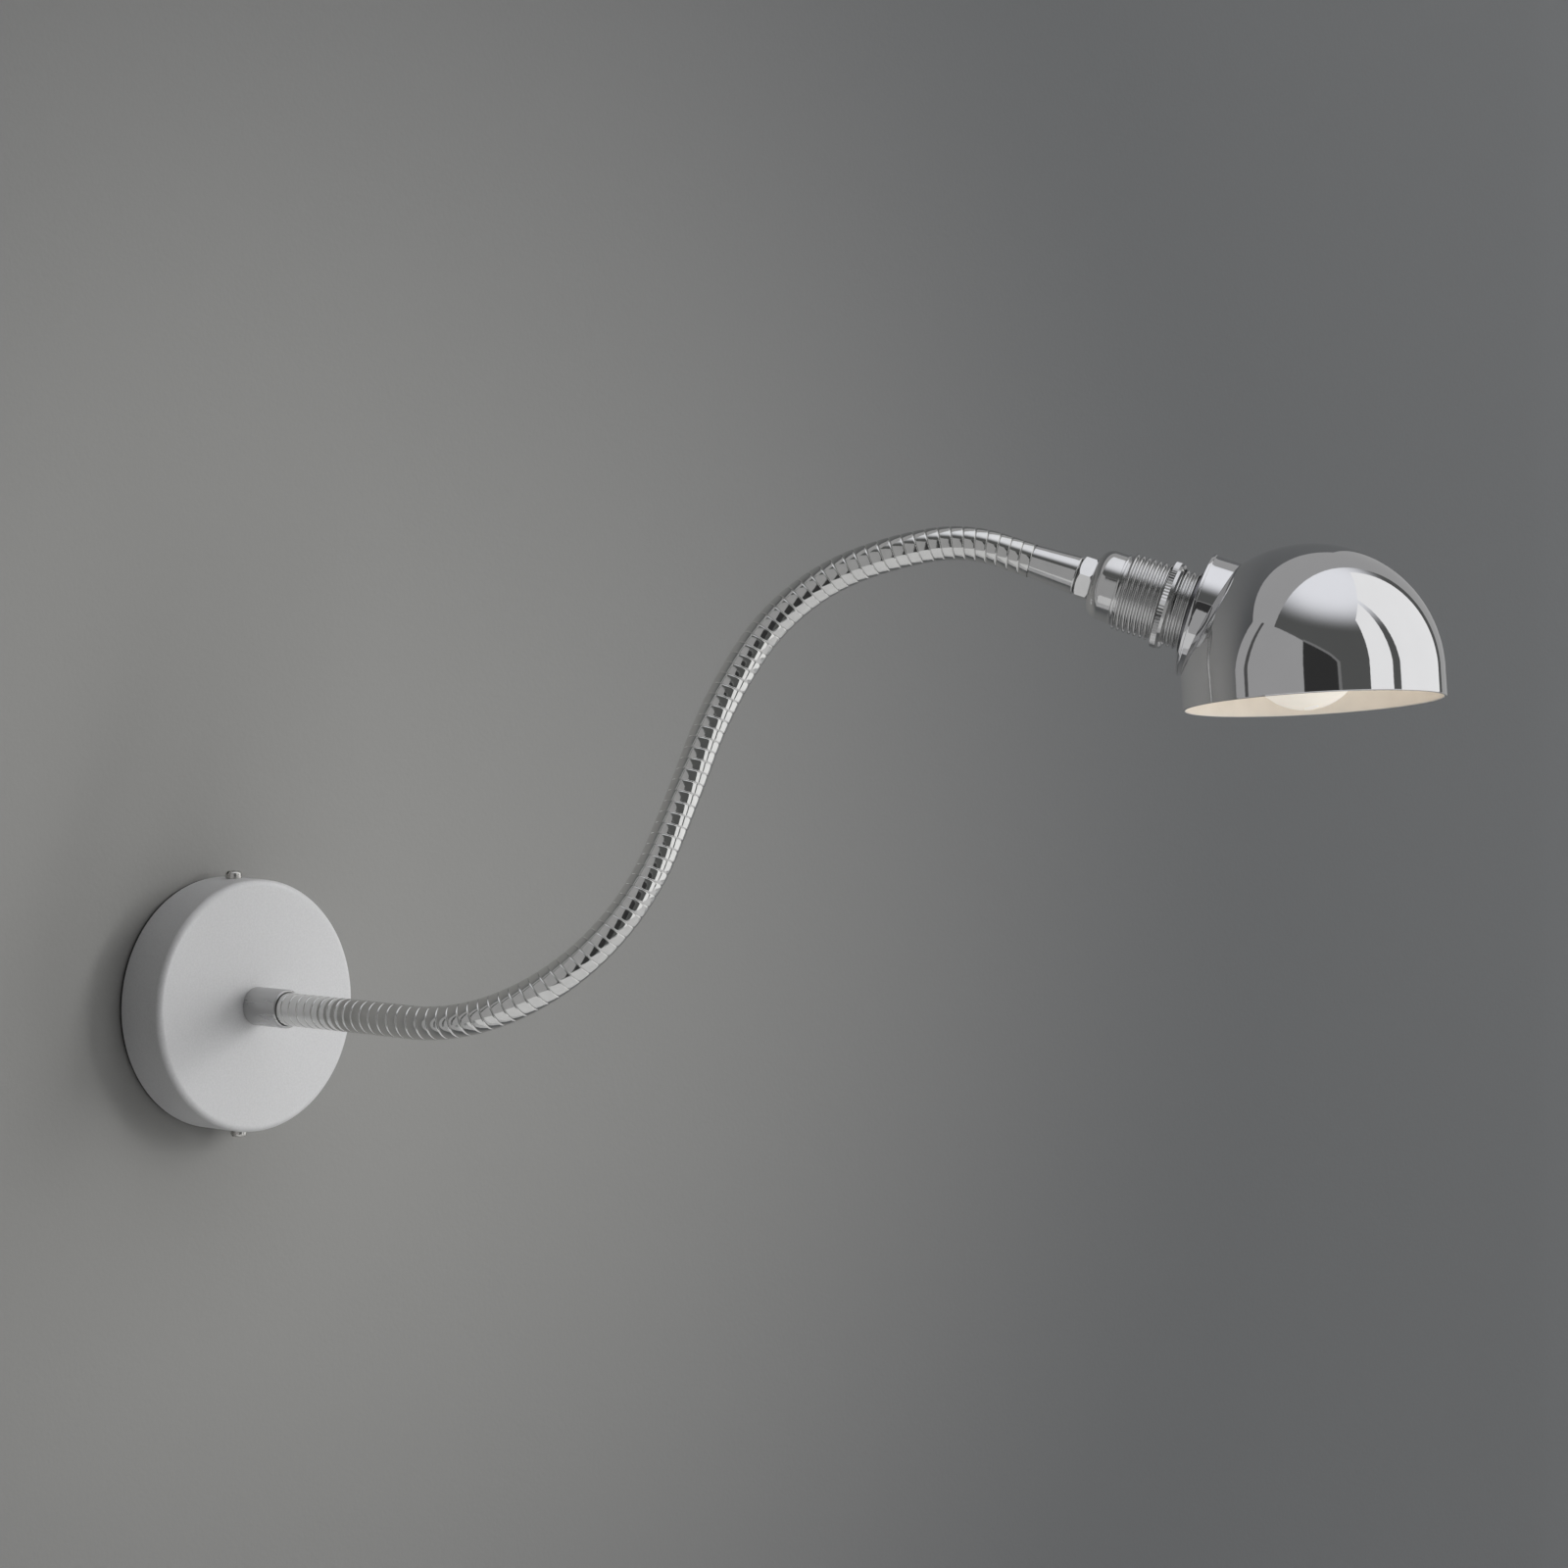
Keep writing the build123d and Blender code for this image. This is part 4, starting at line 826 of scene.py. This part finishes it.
def floor_corners(z, x_low, x_high, y_low, y_high):
    return [(x_low, y_low, z), (x_high, y_low, z), (x_high, y_high, z), (x_low, y_high, z)]


WALL = -0.0006
NEAR_WALL = WALL + 0.0001
# the wall's painted light and shade: lit in its first colour near the rose, shaded in its darker second colour away
# from it
WALL_LIT_AND_SHADED = (0.300, 0.298, 0.288), (0.114, 0.117, 0.120)
wall = backdrop("wall", wall_corners(WALL, -3, 3, -1.5, 3), *WALL_LIT_AND_SHADED, one_sided=True)
wall.visible_glossy = False


def in_metal_only(obj):
    """The metal shows it, but it neither shows to the camera nor lights or shades anything."""
    obj.visible_camera = obj.visible_diffuse = obj.visible_shadow = False
    return obj


# the metal shows how far the grey wall goes, with the same painted pool of light, and a lighter room past its edges
in_metal_only(backdrop("grey_wall", wall_corners(NEAR_WALL, -0.36, 0.82, -1.5, 0.70), *WALL_LIT_AND_SHADED))
backdrop("floor", floor_corners(-1.2, -3, 4, -4, 4), (0.62, 0.62, 0.61), (0.60, 0.60, 0.60))


# ------------------------------------------------------------------ room that the metal shows, and light
def glow_object(name, corners, strength):
    obj = flat_object(name, corners)
    m, nodes, links = material(name + "_glow")
    out = nodes.new("ShaderNodeOutputMaterial")
    glow = nodes.new("ShaderNodeEmission")
    glow.inputs["Color"].default_value = (1, 1, 1, 1)
    glow.inputs["Strength"].default_value = strength
    links.new(glow.outputs[0], out.inputs[0])
    obj.data.materials.append(m)
    obj.visible_camera = False
    return obj


DOME = tuple(float(c) * MM for c in DOME_O)


def seen_from_dome(azimuth, elevation, distance):
    """Place in a direction from the dome, turned from straight out of the wall towards +Y, and above level."""
    a, e = math.radians(azimuth), math.radians(elevation)
    x, y, z = math.cos(a) * math.cos(e), math.sin(a) * math.cos(e), math.sin(e)
    return (DOME[0] + distance * x, DOME[1] + distance * y, DOME[2] + distance * z)


def panel(name, directions, strength, distance=2.4):
    """Upright glowing panel at a level distance, whose corners are seen from the dome in these directions."""
    corners = [seen_from_dome(a, e, distance / max(0.35, math.cos(math.radians(e)))) for a, e in directions]
    return glow_object(name, corners, strength)


panel("window_near", [(-1.5, -24), (22.5, -24), (21.5, 57), (0, 46)], 1.0)
panel("window_far", [(32, -24), (88, -24), (88, 40), (88, 60), (26.5, 59)], 1.0)
in_metal_only(panel("side_screen", [(-111, -24), (-58.5, -24), (-61, 32), (-107, 43)], 0.375, distance=0.9))
in_metal_only(panel("side_edge", [(-114.5, -24), (-111, -24), (-107, 43), (-110, 43)], 0.09, distance=0.9))
in_metal_only(panel("dark_screen", [(-58.5, -24), (-23, -24), (-25, 8), (-36, 19), (-61, 32)], 0.037))
dark_rim = [(-61, 32), (-36, 19), (-25, 8), (-23, -24), (-21.4, -24), (-23.4, 9), (-35, 20.8), (-61, 33.8)]
in_metal_only(panel("dark_screen_rim", dark_rim, 0.2))
in_metal_only(glow_object("room_past_wall", wall_corners(-0.01, -4, 4, -1.5, 4), 0.38))
in_metal_only(glow_object("bright_floor", floor_corners(-1.1, 0.2, 3, -2.5, 2), 0.65))

# large soft lamp that lights matt surfaces and doesn't show in the metal
AIM = (0.2, 0.12, 0.08)
soft_front = bpy.data.lights.new("soft_front", "AREA")
soft_front.shape, soft_front.size, soft_front.size_y, soft_front.energy = "RECTANGLE", 1.6, 1.6, 118
front = add_object("soft_front", soft_front)
front.location = seen_from_dome(50, 8, 2.2)
front.rotation_euler = (Vector(AIM) - front.location).to_track_quat("-Z", "Y").to_euler()
front.visible_glossy = False

from_below = bpy.data.lights.new("from_below", "AREA")
from_below.shape, from_below.size, from_below.energy = "SQUARE", 3.0, 4.5
below = add_object("from_below", from_below)
below.location, below.rotation_euler = (1.3, 0.1, -1.15), (math.pi, 0, 0)
below.visible_camera = False

# the lit lamp's own light, from just outside its glass
lamp_light = bpy.data.lights.new("lamp_light", "POINT")
lamp_light.shadow_soft_size, lamp_light.energy, lamp_light.color = 0.030, 0.10, (1.0, 0.86, 0.72)
glow = add_object("lamp_light", lamp_light)
glow.location = [float(c) * MM for c in HEAD + FACING * LAMP_AT]
glow.visible_camera = glow.visible_glossy = False
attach(glow, "head")

# dim room that brightens towards one place on the ceiling
CEILING_AT, CEILING_EDGE = (44, 79), 0.66  # azimuth and elevation, and the cosine of how far it reaches
ROOM_DIM, CEILING = (0.10, 0.102, 0.10), (0.95, 0.96, 1.0)
world = bpy.data.worlds.new("studio")
bpy.context.scene.world = world
world.use_nodes = True
wn, wl = world.node_tree.nodes, world.node_tree.links
wn.clear()
w_out, w_back = wn.new("ShaderNodeOutputWorld"), wn.new("ShaderNodeBackground")
w_coords, w_dot, w_range = wn.new("ShaderNodeTexCoord"), wn.new("ShaderNodeVectorMath"), wn.new("ShaderNodeMapRange")
w_dot.operation = "DOT_PRODUCT"
w_dot.inputs[1].default_value = tuple(b - d for b, d in zip(seen_from_dome(*CEILING_AT, 1.0), DOME))
w_range.interpolation_type = "SMOOTHERSTEP"
w_range.inputs["From Min"].default_value, w_range.inputs["From Max"].default_value = CEILING_EDGE, 1.0
w_mix = wn.new("ShaderNodeMix")
w_mix.data_type = "RGBA"
w_mix.inputs["A"].default_value, w_mix.inputs["B"].default_value = (*ROOM_DIM, 1), (*CEILING, 1)
wl.new(w_coords.outputs["Generated"], w_dot.inputs[0])
wl.new(w_dot.outputs["Value"], w_range.inputs["Value"])
wl.new(w_range.outputs[0], w_mix.inputs["Factor"])
wl.new(w_mix.outputs["Result"], w_back.inputs["Color"])
w_back.inputs["Strength"].default_value = 1.0
wl.new(w_back.outputs[0], w_out.inputs[0])

# ------------------------------------------------------------------ camera
CAMERA_AT = (1.4643, -1.21504, 0.20549)
AZIMUTH, ELEVATION, ROLL = 44.04, 3.88, -0.76
SENSOR, FOCAL_PIXELS, PHOTO_PIXELS = 36.0, 5300, 1600
cam_data = bpy.data.cameras.new("camera")
cam = add_object("camera", cam_data)
az, el, roll = math.radians(AZIMUTH), math.radians(ELEVATION), math.radians(ROLL)
back = Vector((math.sin(az) * math.cos(el), -math.cos(az) * math.cos(el), math.sin(el)))
right = Vector((math.cos(az), math.sin(az), 0))
top = back.cross(right)
cam_right = right * math.cos(roll) + top * math.sin(roll)
cam_top = -right * math.sin(roll) + top * math.cos(roll)
cam.matrix_world = Matrix((*zip(cam_right, cam_top, back, CAMERA_AT), (0, 0, 0, 1)))
cam_data.sensor_width, cam_data.lens = SENSOR, FOCAL_PIXELS / PHOTO_PIXELS * SENSOR
cam_data.clip_end = 50
bpy.context.scene.camera = cam
bpy.context.scene.view_settings.view_transform = "Standard"
